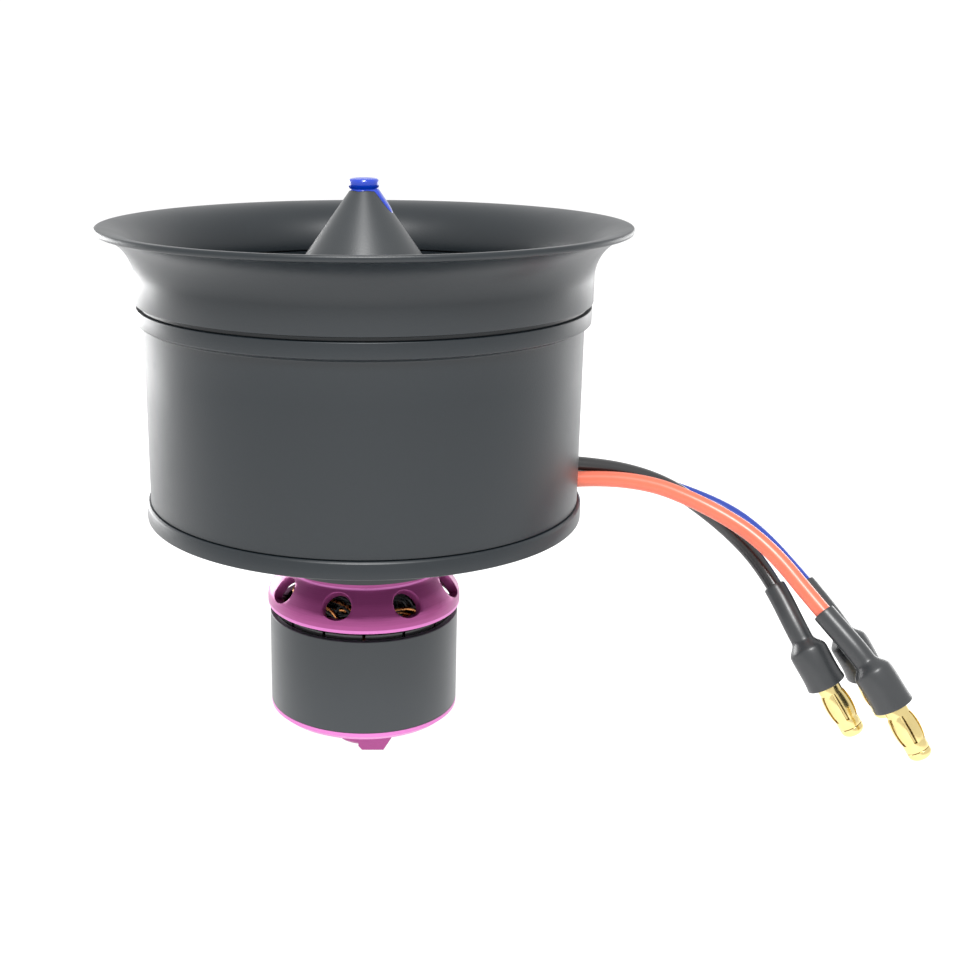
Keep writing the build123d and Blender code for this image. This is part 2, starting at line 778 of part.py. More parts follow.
save(
    turned([
        (hub_r - spinner_wall, rotor_top - 0.8),
        (hub_inner_r - slide_gap, rotor_top - 0.8),
        (hub_inner_r - slide_gap, rotor_top),
        (hub_r, rotor_top),
        (spinner_tip_r, spinner_tip),
        (spinner_screw_head_r + slide_gap, spinner_tip),
        (spinner_screw_head_r + slide_gap, screw_head_seat),
        (screw_hole_r, screw_head_seat),
        (screw_hole_r, cavity_top),
        (cavity_top_r, cavity_top),
        (hub_r - spinner_wall - 0.5, rotor_top),
        (hub_r - spinner_wall - 0.5, rotor_top - 0.8),
    ]),
    "spinner",
)

save(
    turned([
        (0, stem_top - 4),
        (spinner_screw_r, stem_top - 4),
        (spinner_screw_r, screw_head_seat),
        (spinner_screw_head_r, screw_head_seat),
        (spinner_screw_head_r, spinner_tip),
        (0, spinner_tip),
    ]),
    "spinner_screw",
)

with BuildPart() as seal_bead:
    bead_r = spinner_tip_r + 0.3
    bead_top = spinner_tip + 1.85
    with BuildSketch(Plane.XZ):
        with BuildLine():
            Polyline((0, bead_top), (0, spinner_tip), (spinner_tip_r, spinner_tip))
            Spline(
                (spinner_tip_r, spinner_tip), (bead_r, spinner_tip + 0.7), (bead_r - 0.35, bead_top - 0.2),
                (0, bead_top), tangents=((1, 0.6), (-1, 0)),
            )
        make_face()
    revolve(axis=Axis.Z)
    # A short run of the same lacquer down the cone.
    run_drop = 3.9
    run_top = Vector(spinner_tip_r - 0.55, 0, spinner_tip + 0.1)
    run_end = Vector(spinner_tip_r + run_drop * spinner_slope - 0.3, 0, spinner_tip - run_drop)
    with BuildSketch(Plane(origin=run_top, z_dir=run_end - run_top)):
        Circle(0.95)
    with BuildSketch(Plane(origin=run_end, z_dir=run_end - run_top)):
        Circle(0.45)
    loft()
    with BuildSketch(Plane.XZ):
        with BuildLine():
            Polyline(
                (0, rotor_top), (hub_r, rotor_top), (spinner_tip_r, spinner_tip), (0, spinner_tip), close=True
            )
        make_face()
    revolve(axis=Axis.Z, mode=Mode.SUBTRACT)
save(seal_bead.part, "seal_bead")


# ------------------------------------------------------------------ leads, heat shrink and plugs
def arc_radii(route):
    """The largest tangent arc that each corner's two runs allow."""
    points = [Vector(*point) for point in route]
    radii = []
    for before, corner, after in zip(points, points[1:], points[2:]):
        arriving = corner - before
        leaving = after - corner
        half_turn = math.radians(arriving.get_angle(leaving)) / 2
        radii.append(0.45 * min(arriving.length, leaving.length) / math.tan(half_turn))
    return radii


def swept(route, radii, section_r):
    """A round rod along straight runs joined by tangent arcs, and the length of its path."""
    with BuildPart() as rod:
        with BuildLine():
            path = FilletPolyline(*route, radius=radii)
        with BuildSketch(Plane(origin=path @ 0, z_dir=path % 0)):
            Circle(section_r)
        sweep()
    return rod.part, path.length


def plug_plane(route):
    """The plane across a plug's axis at the neck of its heat shrink, facing the plug's tip."""
    neck = Vector(*route[-2])
    return Plane(origin=neck, z_dir=Vector(*route[-1]) - neck)


def bullet(route, lead):
    """The turned plug: solder cup, collar, pin and nose."""
    across = plug_plane(route)
    steps = (
        (cup_r, plug_cup_start, plug_collar_start),
        (collar_plug_r, plug_collar_start, plug_shrink_end),
        (pin_r, plug_shrink_end, plug_nose_start),
        (plug_r, plug_nose_start, plug_end),
    )
    with BuildPart() as plug:
        for radius, start, end in steps:
            with BuildSketch(across.offset(start)):
                Circle(radius)
            extrude(amount=end - start)
        chamfer(plug.faces().sort_by(Axis(across.origin, across.z_dir))[-1].edges(), 0.35)
        add(lead, mode=Mode.SUBTRACT)
    return plug.part


def bullet_cage(route):
    """The bowed, slotted spring sleeve round the pin."""
    across = plug_plane(route)
    start = plug_shrink_end + 0.05
    end = plug_nose_start - 0.05
    middle = (start + end) / 2
    inside = pin_r + slide_gap
    section = Plane(origin=across.origin, x_dir=across.x_dir, z_dir=across.y_dir)
    along = 1 if section.y_dir.dot(across.z_dir) > 0 else -1
    with BuildPart() as sleeve:
        with BuildSketch(section):
            with BuildLine():
                Polyline((plug_r, along * (start + 0.9)), (plug_r, along * start), (inside, along * start),
                         (inside, along * (start + 0.9)))
                ThreePointArc((inside, along * (start + 0.9)),
                              (plug_r + cage_bow - cage_thickness, along * middle),
                              (inside, along * (end - 0.9)))
                Polyline((inside, along * (end - 0.9)), (inside, along * end), (plug_r, along * end),
                         (plug_r, along * (end - 0.9)))
                ThreePointArc((plug_r, along * (end - 0.9)), (plug_r + cage_bow, along * middle),
                              (plug_r, along * (start + 0.9)))
            make_face()
        revolve(axis=Axis(across.origin, across.z_dir))
        with BuildSketch(across.offset(start + 0.8)):
            with PolarLocations(plug_r, 6):
                Rectangle(2.4, 0.55)
        extrude(amount=end - start - 1.6, mode=Mode.SUBTRACT)
    return sleeve.part


def heat_shrink(route, neck_radius, lead, plug):
    """The shrunk sleeve: thin on the lead, bulging over the solder cup."""
    across = plug_plane(route)
    arriving = (Vector(*route[-2]) - Vector(*route[-3])).normalized()
    start = Vector(*route[-2]) - arriving * shrink_neck_length
    core = swept([tuple(start), route[-2], route[-1]], [neck_radius], shrink_r)[0]
    flare_end = shrink_flare_start + shrink_flare_length
    with BuildPart() as sleeve:
        add(core)
        with BuildSketch(across.offset(shrink_flare_start)):
            Circle(shrink_r)
        with BuildSketch(across.offset(flare_end)):
            Circle(shrink_bulge_r)
        loft()
        with BuildSketch(across.offset(flare_end)):
            Circle(shrink_bulge_r)
        extrude(amount=plug_shrink_end - flare_end)
        add(lead, mode=Mode.SUBTRACT)
        add(plug, mode=Mode.SUBTRACT)
    return sleeve.part


with BuildPart() as splice_sleeves:
    for route in (red_route, black_route, blue_route):
        with BuildSketch(Plane(origin=(*route[0][:2], solder_z - splice_length / 2))):
            Circle(lead_r + splice_wall)
        extrude(amount=splice_length)

for colour, route in (("red", red_route), ("black", black_route), ("blue", blue_route)):
    radii = arc_radii(route)
    lead, length = swept(route, radii, lead_r)
    plug = bullet(route, lead)
    save(lead, f"lead_{colour}")
    save(plug, f"bullet_{colour}")
    save(bullet_cage(route), f"bullet_cage_{colour}")
    save(heat_shrink(route, radii[-1], lead, plug), f"heat_shrink_{colour}")
    with splice_sleeves:
        add(lead, mode=Mode.SUBTRACT)
    share = lead.volume / (math.pi * lead_r**2 * length)
    print(f"lead_{colour}: {length:.1f} mm, arc radii {[round(r, 1) for r in radii]}, volume ratio {share:.4f}")
save(splice_sleeves.part, "splice_sleeves")
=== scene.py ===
# %% [markdown]
# # An electric ducted fan around its CAD frame
# The unit blows air for a model jet: a flared lip and a round shroud, a fan behind a cone spinner, a stator that
# carries the motor, and three silicone leads that end in gold bullet plugs.
# The CAD frame holds every size and every joint. This script gives it its looks. Lengths below are millimetres,
# as a maker would quote them, and become metres when a mesh is made.

# %% Load the frame
import json
import math

import bmesh
import bpy
import numpy as np
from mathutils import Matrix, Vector


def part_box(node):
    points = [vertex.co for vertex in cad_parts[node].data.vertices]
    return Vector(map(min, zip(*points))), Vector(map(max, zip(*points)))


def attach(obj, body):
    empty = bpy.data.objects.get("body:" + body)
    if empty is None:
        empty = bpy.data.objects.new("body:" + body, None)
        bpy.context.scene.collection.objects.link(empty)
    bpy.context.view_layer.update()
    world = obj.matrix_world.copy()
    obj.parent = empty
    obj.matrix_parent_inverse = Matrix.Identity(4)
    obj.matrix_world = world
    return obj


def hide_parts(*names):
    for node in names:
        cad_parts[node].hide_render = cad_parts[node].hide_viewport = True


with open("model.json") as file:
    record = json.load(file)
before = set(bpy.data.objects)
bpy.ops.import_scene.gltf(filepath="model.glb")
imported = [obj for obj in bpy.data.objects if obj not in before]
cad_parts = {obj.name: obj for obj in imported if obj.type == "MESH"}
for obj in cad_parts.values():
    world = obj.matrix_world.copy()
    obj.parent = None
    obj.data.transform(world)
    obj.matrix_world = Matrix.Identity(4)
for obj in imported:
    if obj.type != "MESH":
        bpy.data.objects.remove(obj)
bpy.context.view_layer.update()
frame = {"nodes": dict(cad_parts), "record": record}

MM = 0.001
TURN = 2 * math.pi

# %% [markdown]
# ## The camera
# The unit is seen from a little above its intake, through a short telephoto lens. The optical axis passes
# through the fan's axis, and the view is shifted sideways to take in the plugs.

# %% Camera
scene = bpy.context.scene
camera_data = bpy.data.cameras.new("camera")
camera_data.sensor_width = 36
camera_data.lens = 51.67
camera_data.shift_x = 0.121
camera_data.clip_start = 0.01
camera = bpy.data.objects.new("camera", camera_data)
camera.location = (0, -209.26 * MM, 65.61 * MM)
camera.rotation_euler = (math.radians(90 - 16.33), 0, 0)
scene.collection.objects.link(camera)
scene.camera = camera

# %% [markdown]
# ## The leads
# Each lead is a fixed length of soft silicone wire. It starts at a solder joint in the motor, leaves through the
# slot in the shroud, sweeps forward and hangs down under the weight of its plug. A NURBS spline of order 3 with
# listed control points bends the way such a wire does, without kinks.

# %% Lead routes
LEAD_R = 1.25
ROUTES = {
    "red": [
        (9.1, -2.9, -13.0), (9.3, -2.3, 4.1), (27.0, -1.1, 4.6), (43.4, 0.3, 4.6), (54.2, -2.6, 0.8),
        (62.2, -7.9, -3.6), (68.8, -15.1, -11.5), (75.0, -22.0, -18.1), (77.9, -23.6, -23.1),
    ],
    "black": [
        (9.1, 0.0, -13.0), (9.4, 0.2, 6.6), (29.0, 1.2, 7.3), (46.1, 3.0, 4.6), (57.0, 0.6, -2.6),
        (63.2, -5.8, -8.6), (67.3, -15.0, -17.9), (70.3, -16.5, -22.9),
    ],
    "blue": [
        (9.1, 2.9, -13.0), (9.3, 2.6, 4.2), (27.0, 2.4, 4.5), (42.3, 6.2, 3.7), (56.0, 5.2, -0.6),
        (62.3, -0.6, -3.4), (69.0, -7.6, -10.5), (74.4, -13.4, -17.3), (77.4, -12.9, -22.5),
    ],
}


def route_line(route):
    """Points in millimetres along a NURBS spline of order 3 whose control points are the route's."""
    data = bpy.data.curves.new("route", "CURVE")
    data.dimensions = "3D"
    data.resolution_u = 24
    spline = data.splines.new("NURBS")
    spline.points.add(len(route) - 1)
    spline.points.foreach_set("co", np.hstack([np.array(route) * MM, np.ones((len(route), 1))]).ravel())
    spline.order_u = 3
    spline.use_endpoint_u = True
    guide = bpy.data.objects.new("route", data)
    scene.collection.objects.link(guide)
    bpy.context.view_layer.update()
    mesh = bpy.data.meshes.new_from_object(guide.evaluated_get(bpy.context.evaluated_depsgraph_get()))
    flat = np.empty(3 * len(mesh.vertices))
    mesh.vertices.foreach_get("co", flat)
    bpy.data.meshes.remove(mesh)
    bpy.data.objects.remove(guide)
    return flat.reshape(-1, 3) / MM


lines = {colour: route_line(route) for colour, route in ROUTES.items()}
lengths = {c: float(np.linalg.norm(np.diff(line, axis=0), axis=1).sum()) for c, line in lines.items()}
print("lead lengths, mm:", {colour: round(length, 1) for colour, length in lengths.items()})

# %% [markdown]
# ## Tools for surfaces
# Almost every piece here is turned on a lathe, moulded round an axis, or carried along a wire. So a surface is an
# array of points over two parameters, cut into quads, and one function welds such quads into a mesh. Corners are
# never left sharp: a real edge is broken by a small radius, and that radius is what catches the light.

# %% Quads, and a mesh made from them
def quads_of(points, wrap_u=False, wrap_v=False):
    """The quads between neighbours in a grid of points, closed onto its first row or column where it wraps."""
    if wrap_u:
        points = np.concatenate([points, points[:1]], 0)
    if wrap_v:
        points = np.concatenate([points, points[:, :1]], 1)
    corners = (points[:-1, :-1], points[1:, :-1], points[1:, 1:], points[:-1, 1:])
    return np.stack(corners, -2).reshape(-1, 4, 3)


def add_piece(name, quads, body, sharp=40):
    """A mesh piece from quads in millimetres. Equal points are welded, faces turned outwards, and only the edges
    steeper than `sharp` degrees stay hard."""
    mesh = bpy.data.meshes.new(name)
    mesh.from_pydata(quads.reshape(-1, 3) * MM, [], np.arange(len(quads) * 4).reshape(-1, 4))
    work = bmesh.new()
    work.from_mesh(mesh)
    bmesh.ops.remove_doubles(work, verts=work.verts, dist=0.003 * MM)
    bmesh.ops.dissolve_degenerate(work, edges=work.edges, dist=0.002 * MM)
    bmesh.ops.recalc_face_normals(work, faces=work.faces)
    work.to_mesh(mesh)
    work.free()
    mesh.polygons.foreach_set("use_smooth", np.ones(len(mesh.polygons), bool))
    mesh.set_sharp_from_angle(angle=math.radians(sharp))
    piece = bpy.data.objects.new(name, mesh)
    scene.collection.objects.link(piece)
    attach(piece, body)
    print(f"{name}: {len(mesh.polygons)} faces")
    return piece


# %% Outlines with eased corners, turned about the axis
def eased(corners, cut, closed=True, steps=5):
    """An outline with eased corners. At each corner a quadratic curve runs between the points that lie `cut`
    before and after it, or half way to the next corner where that is nearer, and leans on the corner."""
    corner = np.array(corners, float)
    before, after = np.roll(corner, 1, 0) - corner, np.roll(corner, -1, 0) - corner
    u = np.linspace(0, 1, steps).reshape(1, -1, 1)

    def cut_point(side):
        length = np.linalg.norm(side, axis=1, keepdims=True)
        reach = np.minimum(np.broadcast_to(np.reshape(cut, (-1, 1)), (len(corner), 1)), 0.48 * length)
        return corner + side / np.maximum(length, 1e-9) * reach

    start, end = cut_point(before), cut_point(after)
    bends = (1 - u) ** 2 * start[:, None] + 2 * u * (1 - u) * corner[:, None] + u**2 * end[:, None]
    if closed:
        return bends.reshape(-1, 2)
    return np.vstack([corner[:1], bends[1:-1].reshape(-1, 2), corner[-1:]])


def turned(outline, angles):
    """The outline's (radius, height) points turned about the fan's axis: x = r cos a, y = r sin a, z = height."""
    r, z = np.array(outline, float).T
    a = np.reshape(angles, (-1, 1))
    return np.stack([r * np.cos(a), r * np.sin(a), np.broadcast_to(z, (len(a), len(z)))], -1)


def full_turn(count):
    """Angles of a full turn from -180 degrees, without the last one, which the wrap closes."""
    return -math.pi + np.arange(count) * TURN / count


def lathe(outline, segments=192):
    """The quads of a closed outline turned right round."""
    return quads_of(turned(outline, full_turn(segments)), True, True)


def reach(node):
    """(outer radius, bottom, top) in millimetres of a CAD node that stands on the fan's axis."""
    low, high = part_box(node)
    return max(high.x, high.y) / MM, low.z / MM, high.z / MM


# %% A turned wall with openings
def walled(outer, inner, openings=(), segments=192, place=turned):
    """The quads of a turned wall. Outer and inner are paths of equal length, from bottom to top. An opening is
    (first angle, last angle, first step, last step): both skins are left out there, and a strip between them
    closes each edge, as it does along the wall's two rims."""
    angles = full_turn(segments)
    for edge in [angle for opening in openings for angle in opening[:2]]:
        angles = np.append(angles[np.abs(angles - edge) > 1e-3], edge)
    angles = np.sort(angles)
    out, inn = place(outer, angles), place(inner, angles)
    middle = angles + np.diff(np.append(angles, angles[0] + TURN)) / 2
    solid = np.ones((len(angles), len(outer) - 1), bool)
    for first, last, low, high in openings:
        solid[np.ix_((middle > first) & (middle < last), range(low, high))] = False
    ahead = np.roll(np.arange(len(angles)), -1)
    i, j = np.nonzero(solid)
    skins = [np.stack([s[i, j], s[ahead[i], j], s[ahead[i], j + 1], s[i, j + 1]], 1) for s in (out, inn)]
    rims = np.pad(solid, ((0, 0), (1, 1)))
    i, j = np.nonzero(rims[:, 1:] != rims[:, :-1])
    skins.append(np.stack([out[i, j], out[ahead[i], j], inn[ahead[i], j], inn[i, j]], 1))
    i, j = np.nonzero(solid != np.roll(solid, 1, 0))
    skins.append(np.stack([out[i, j], out[i, j + 1], inn[i, j + 1], inn[i, j]], 1))
    return np.vstack(skins)


# %% [markdown]
# ## Shader maths
# A finish on a real part is never one flat colour. Its moulding grain, turning marks and rubbed edges are small
# sums over position. A thin class around a socket lets those sums be written as Python expressions, and each
# expression adds its Math nodes. Every other node comes from one method.

# %% A socket that takes operators
class Amount:
    """One number that varies over a surface, held as a shader socket. Its operators add Math nodes."""

    def __init__(self, finish, socket):
        self.finish, self.socket = finish, socket

    def math(self, operation, *others):
        return self.finish.node("ShaderNodeMath", {"operation": operation}, {i: x for i, x in enumerate(others)})

    def __add__(self, other):
        return self.math("ADD", self, other)

    def __mul__(self, other):
        return self.math("MULTIPLY", self, other)

    def __pow__(self, power):
        return self.math("POWER", self, power)


# %% A finish and its nodes
class Finish:
    """A material on one Principled shader. Constants sit on the shader's own sockets; what varies is linked."""

    def __init__(self, name, colour, rough, metal=0.0, **constants):
        self.material = bpy.data.materials.new(name)
        self.material.use_nodes = True
        self.tree = self.material.node_tree
        self.shader = self.tree.nodes["Principled BSDF"]
        constants = {"Base Color": (*colour, 1), "Roughness": rough, "Metallic": metal, **constants}
        for socket, value in constants.items():
            self.shader.inputs[socket].default_value = value
        self.place = self.node("ShaderNodeTexCoord", {}, {}, "Object")

    def node(self, kind, settings, inputs, output=0):
        """Adds a node: its settings first, then a link or a value for each input. Returns one output."""
        made = self.tree.nodes.new(kind)
        for setting, value in settings.items():
            setattr(made, setting, value)
        for socket, value in inputs.items():
            if isinstance(value, Amount):
                self.tree.links.new(value.socket, made.inputs[socket])
            else:
                made.inputs[socket].default_value = value
        return Amount(self, made.outputs[output])

    def noise(self, per_mm, detail=3.0, roughness=0.55, place=None, distortion=0.0):
        """Cloudy noise from 0 to 1, with that many lumps to a millimetre."""
        inputs = {"Vector": place or self.place, "Scale": per_mm / MM, "Detail": detail, "Roughness": roughness,
                  "Distortion": distortion}
        return self.node("ShaderNodeTexNoise", {}, inputs, "Fac")

    def spread(self, amount, low, high):
        """The amount stretched so that low becomes 0 and high becomes 1, and held there."""
        inputs = {"Value": amount, "From Min": low, "From Max": high}
        return self.node("ShaderNodeMapRange", {"clamp": True}, inputs)

    def axis(self):
        """Distance from the fan's axis and height, in metres."""
        x, y, z = (self.node("ShaderNodeSeparateXYZ", {}, {0: self.place}, i) for i in range(3))
        return (x * x + y * y) ** 0.5, z

    def tint(self, amount, colour_a, colour_b):
        """From one colour to the other as the amount goes from 0 to 1. Either may be a linked colour."""
        a, b = (c if isinstance(c, Amount) else (*c, 1) for c in (colour_a, colour_b))
        return self.node("ShaderNodeMix", {"data_type": "RGBA"}, {0: amount, 6: a, 7: b}, 2)

    def feed(self, socket, amount):
        self.tree.links.new(amount.socket, self.shader.inputs[socket])
        return self

    def bumped(self, height, depth_mm, strength=1.0):
        """A fine relief of that depth, shaded but not modelled."""
        inputs = {"Height": height, "Distance": depth_mm * MM, "Strength": strength}
        return self.feed("Normal", self.node("ShaderNodeBump", {}, inputs))


def darker(colour, factor):
    return tuple(min(1.0, c * factor) for c in colour)


# %% [markdown]
# ## The finishes
# Glass-filled nylon has a fine, even mould grain and pale scuffs. Anodised aluminium shows the fine rings of the
# lathe under its dye. Silicone is soft and slightly waxy, lacquer is smooth and wet, and plated brass is bright
# with a little wear. Each is a function, so that one recipe serves every colour of that stuff.

# %% Plastics and coatings
def moulded(name, colour, rough, grain_mm=0.25, scuff=0.25, depth=0.012):
    """Injection-moulded plastic: fine grain in the relief, clouds in the gloss, and sparse pale scuffs."""
    f = Finish(name, colour, rough, **{"Specular IOR Level": 0.5})
    cloud = f.noise(0.12, 4)
    scuffs = f.spread(f.noise(0.5, 8, 0.7, distortion=0.6), 0.60, 0.78) * scuff
    clouded = f.tint(cloud, darker(colour, 0.88), darker(colour, 1.12))
    f.feed("Base Color", f.tint(scuffs, clouded, darker(colour, 2.6)))
    f.feed("Roughness", cloud * 0.12 + scuffs * 0.25 + (rough - 0.06))
    f.bumped(f.noise(1 / grain_mm, 2) + scuffs, depth)
    return f.material


def rubber_like(name, colour, rough, coat=0.0):
    """Silicone or shrink tube: smooth, slightly cloudy, with a faint waviness from being extruded."""
    f = Finish(name, colour, rough, **{"Coat Weight": coat, "Coat Roughness": 0.25})
    wave = f.noise(0.35, 3)
    f.feed("Base Color", f.tint(wave, darker(colour, 0.9), darker(colour, 1.12)))
    f.feed("Roughness", f.noise(0.9, 5) * 0.12 + (rough - 0.06))
    f.bumped(wave * 0.7 + f.noise(3.0, 2) * 0.3, 0.02)
    return f.material


# %% Metals
def lathe_turned(name, colour, rough, metal=1.0, lines_mm=0.16, depth=0.004, sheen=0.18):
    """Turned metal: rings round the fan's axis, from noise that is read along radius and height only."""
    f = Finish(name, colour, rough, metal)
    radius, height = f.axis()
    along = f.node("ShaderNodeCombineXYZ", {}, {0: radius, 1: height, 2: 0.0})
    rings = f.noise(1 / lines_mm, 3, 0.6, along)
    cloud = f.noise(0.2, 4)
    f.feed("Base Color", f.tint(rings * 0.7 + cloud * 0.3, darker(colour, 1 - sheen), darker(colour, 1 + sheen)))
    f.feed("Roughness", rings * 0.14 + cloud * 0.08 + (rough - 0.1))
    f.bumped(rings, depth)
    return f.material


def plain_metal(name, colour, rough, metal=1.0, wear=0.15, grain_mm=0.5):
    """Ground, plated or drawn metal: cloudy gloss and tiny pits, with no direction."""
    f = Finish(name, colour, rough, metal)
    cloud, pits = f.noise(0.4, 5), f.noise(1 / grain_mm, 6, 0.7)
    f.feed("Base Color", f.tint(cloud, darker(colour, 1 - wear), darker(colour, 1 + wear)))
    f.feed("Roughness", cloud * 0.1 + f.spread(pits, 0.4, 0.8) * 0.14 + (rough - 0.08))
    f.bumped(pits, 0.003)
    return f.material


def anodised(name, colour, highlight_colour, rims, rough):
    """Dyed aluminium from the lathe. Its rims, (low, high) in millimetres, get a painted highlight in a brighter
    pink.
    """
    f = Finish(name, colour, rough, 0.45)
    radius, height = f.axis()
    along = f.node("ShaderNodeCombineXYZ", {}, {0: radius, 1: height, 2: 0.0})
    rings = f.noise(5.0, 3, 0.6, along)
    cloud = f.noise(0.15, 4)
    # The rim bands below are a painted highlight: they mix in the brighter pink that lit chamfers show.
    edge = 0.0
    for low, high in rims:
        inside = f.spread(height, low * MM, (low + 0.06) * MM) * f.spread(height, (high + 0.06) * MM, high * MM)
        edge = inside + edge
    face = f.tint(rings * 0.75 + cloud * 0.25, darker(colour, 0.78), darker(colour, 1.25))
    f.feed("Base Color", f.tint(edge, face, highlight_colour))
    f.feed("Roughness", rings * 0.16 + cloud * 0.06 + (rough - 0.1))
    f.bumped(rings, 0.006)
    return f.material


# %% The set of finishes, one to each of the record's slots
# The second colour is a painted highlight for the chamfered rims, and the bands below are the heights that get it.
PURPLE, RIM_HIGHLIGHT_PINK = (0.30, 0.052, 0.195), (0.56, 0.16, 0.44)
RIM_HIGHLIGHT_BANDS = ((-9.7, -9.4), (-15.7, -15.05), (-33.8, -32.2))
FINISHES = {
    "housing_plastic": moulded("housing_plastic", (0.0045, 0.0080, 0.0110), 0.38),
    "fan_plastic": moulded("fan_plastic", (0.006, 0.008, 0.009), 0.38, scuff=0.1),
    "spinner_plastic": moulded("spinner_plastic", (0.024, 0.028, 0.031), 0.40, scuff=0.12),
    "blue_lacquer": rubber_like("blue_lacquer", (0.001, 0.032, 0.40), 0.14, coat=0.4),
    "purple_anodised": anodised("purple_anodised", PURPLE, RIM_HIGHLIGHT_PINK, RIM_HIGHLIGHT_BANDS, 0.36),
    "can_coating": lathe_turned("can_coating", (0.022, 0.027, 0.031), 0.36, metal=0.1, sheen=0.10),
    # The magnets get a near-black, non-metallic colour as painted shade for the dark gap under the base's rim.
    "magnet_nickel": plain_metal("magnet_nickel", (0.012, 0.012, 0.013), 0.16, metal=0.0),
    "core_steel": plain_metal("core_steel", (0.16, 0.16, 0.17), 0.45),
    "insulator_coat": rubber_like("insulator_coat", (0.02, 0.09, 0.04), 0.45),
    "copper_wire": plain_metal("copper_wire", (0.62, 0.26, 0.09), 0.26, wear=0.35),
    "ground_steel": lathe_turned("ground_steel", (0.60, 0.61, 0.62), 0.25),
    "ball_steel": plain_metal("ball_steel", (0.72, 0.73, 0.74), 0.12),
    "cage_brass": plain_metal("cage_brass", (0.66, 0.48, 0.20), 0.30),
    "black_steel": plain_metal("black_steel", (0.035, 0.035, 0.038), 0.38, metal=0.7),
    "plated_steel": plain_metal("plated_steel", (0.62, 0.62, 0.60), 0.28),
    "adapter_aluminium": lathe_turned("adapter_aluminium", (0.66, 0.67, 0.68), 0.32),
    "silicone_red": rubber_like("silicone_red", (0.66, 0.125, 0.066), 0.34, coat=0.2),
    "silicone_black": rubber_like("silicone_black", (0.008, 0.008, 0.009), 0.30, coat=0.4),
    "silicone_blue": rubber_like("silicone_blue", (0.004, 0.030, 0.27), 0.36, coat=0.1),
    "shrink_black": rubber_like("shrink_black", (0.026, 0.028, 0.030), 0.34),
    "gold_plate": plain_metal("gold_plate", (0.72, 0.58, 0.26), 0.18, wear=0.15),
}
print("finishes:", len(FINISHES))

# %% Finishes on the CAD nodes that stay in view
slot_of = {part["node"]: part["material_slot"] for part in frame["record"]["subparts"]}
for node, finish in slot_of.items():
    node_object = frame["nodes"][node]
    for place in node_object.material_slots:
        place.material = FINISHES[finish]


def finished(piece, slot):
    """Gives a new piece its finish and names the record's slot for it."""
    piece.data.materials.append(FINISHES[slot])
    return piece


def make(name, quads, body, *nodes, sharp=40):
    """A piece that stands for CAD nodes and wears the finish of the first of them."""
    piece = add_piece(name, quads, body, sharp)
    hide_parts(*nodes)
    return finished(piece, slot_of[nodes[0]])


# %% [markdown]
# ## The shroud
# The duct's wall is a moulded tube. A collar stands out near its top, with a chamfer below it, and above the
# collar a groove separates it from the intake lip. At the rear edge a notch lets the leads out. It is a turned
# wall, made from an outer and an inner path, so that the notch can be left out of both skins at once.

# %% Shroud
collar_r, shroud_bottom, shroud_top = reach("duct_shroud")
flange_r, hub_bottom, sleeve_top = reach("stator")
lip_r, lip_bottom, _ = reach("intake_lip")
rotor_r, rotor_bottom, rotor_top = reach("fan_rotor")
BODY_R = collar_r - 1.0
BORE_R = BODY_R - 1.4
SLEEVE_R = BORE_R + 0.65
NOTCH_TOP = 8.2
NOTCH_SIDES = (-2.2, 5.35)
notch = [math.asin(y / BODY_R) for y in NOTCH_SIDES]
collar_top = lip_bottom - 0.65
shroud_outer = np.vstack([
    [(SLEEVE_R + 0.25, shroud_bottom), (BODY_R - 0.2, shroud_bottom), (BODY_R, shroud_bottom + 0.15)],
    [(BODY_R, NOTCH_TOP), (BODY_R, 18.6)],
    eased([
        (BODY_R, 24.0), (BODY_R, collar_top - 2.75), (collar_r, collar_top - 2.25), (collar_r, collar_top),
        (collar_r - 0.75, collar_top), (collar_r - 0.75, lip_bottom - 0.02), (BODY_R - 0.1, lip_bottom - 0.02),
        (BODY_R - 0.1, shroud_top), (BODY_R - 0.6, shroud_top),
    ], 0.16, closed=False, steps=4),
])
levels = np.clip(shroud_outer[:, 1], shroud_bottom, None)
shroud_inner = np.stack([np.where(levels < sleeve_top, SLEEVE_R + 0.05, BORE_R), levels], 1)
shroud_inner[-1, 0] += 0.3
make("shroud", walled(shroud_outer, shroud_inner, [(*notch, 0, 3)], 256), "housing", "duct_shroud")

# %% [markdown]
# ## The intake lip
# A bell mouth guides the air into the duct. It is one turned outline: a straight skirt that seats on the shroud,
# a flare that rolls outwards, a thin rounded rim, and an elliptical mouth that meets the bore without a step.

# %% Intake lip
FLARE_R, FLARE_TURN = 6.5, math.radians(78)
SKIRT_R = BORE_R + 2.55
RIM = 0.9
flare_bottom = lip_bottom + 3.9
throat = lip_bottom + 3.5
turns = np.linspace(0, FLARE_TURN, 26)
flare = np.stack([SKIRT_R + FLARE_R * (1 - np.cos(turns)), flare_bottom + FLARE_R * np.sin(turns)], 1)
rim_centre = flare[-1] + (0, RIM / 2)
bend = np.linspace(-math.pi / 2 + 0.2, math.pi / 2, 12)
rim = rim_centre + np.stack([(lip_r - rim_centre[0]) * np.cos(bend), RIM / 2 * np.sin(bend)], 1)
quarter = np.linspace(0.0, math.pi / 2, 40)[1:]
mouth_width, mouth_height = rim[-1, 0] - BORE_R, rim[-1, 1] - throat
mouth = np.stack([rim[-1, 0] - mouth_width * np.sin(quarter), throat + mouth_height * np.cos(quarter)], 1)
lip_outline = np.vstack([
    [(BODY_R - 0.05, lip_bottom), (SKIRT_R - 0.25, lip_bottom), (SKIRT_R - 0.07, lip_bottom + 0.07)],
    [(SKIRT_R, lip_bottom + 0.25)], flare, rim, mouth, [(BORE_R, throat - 0.02), (BODY_R - 0.05, throat - 0.02)],
])
make("intake_bell_mouth", lathe(lip_outline, 256), "housing", "intake_lip", sharp=35)
print("lip rim radius, mm:", round(float(lip_outline[:, 0].max()), 2))

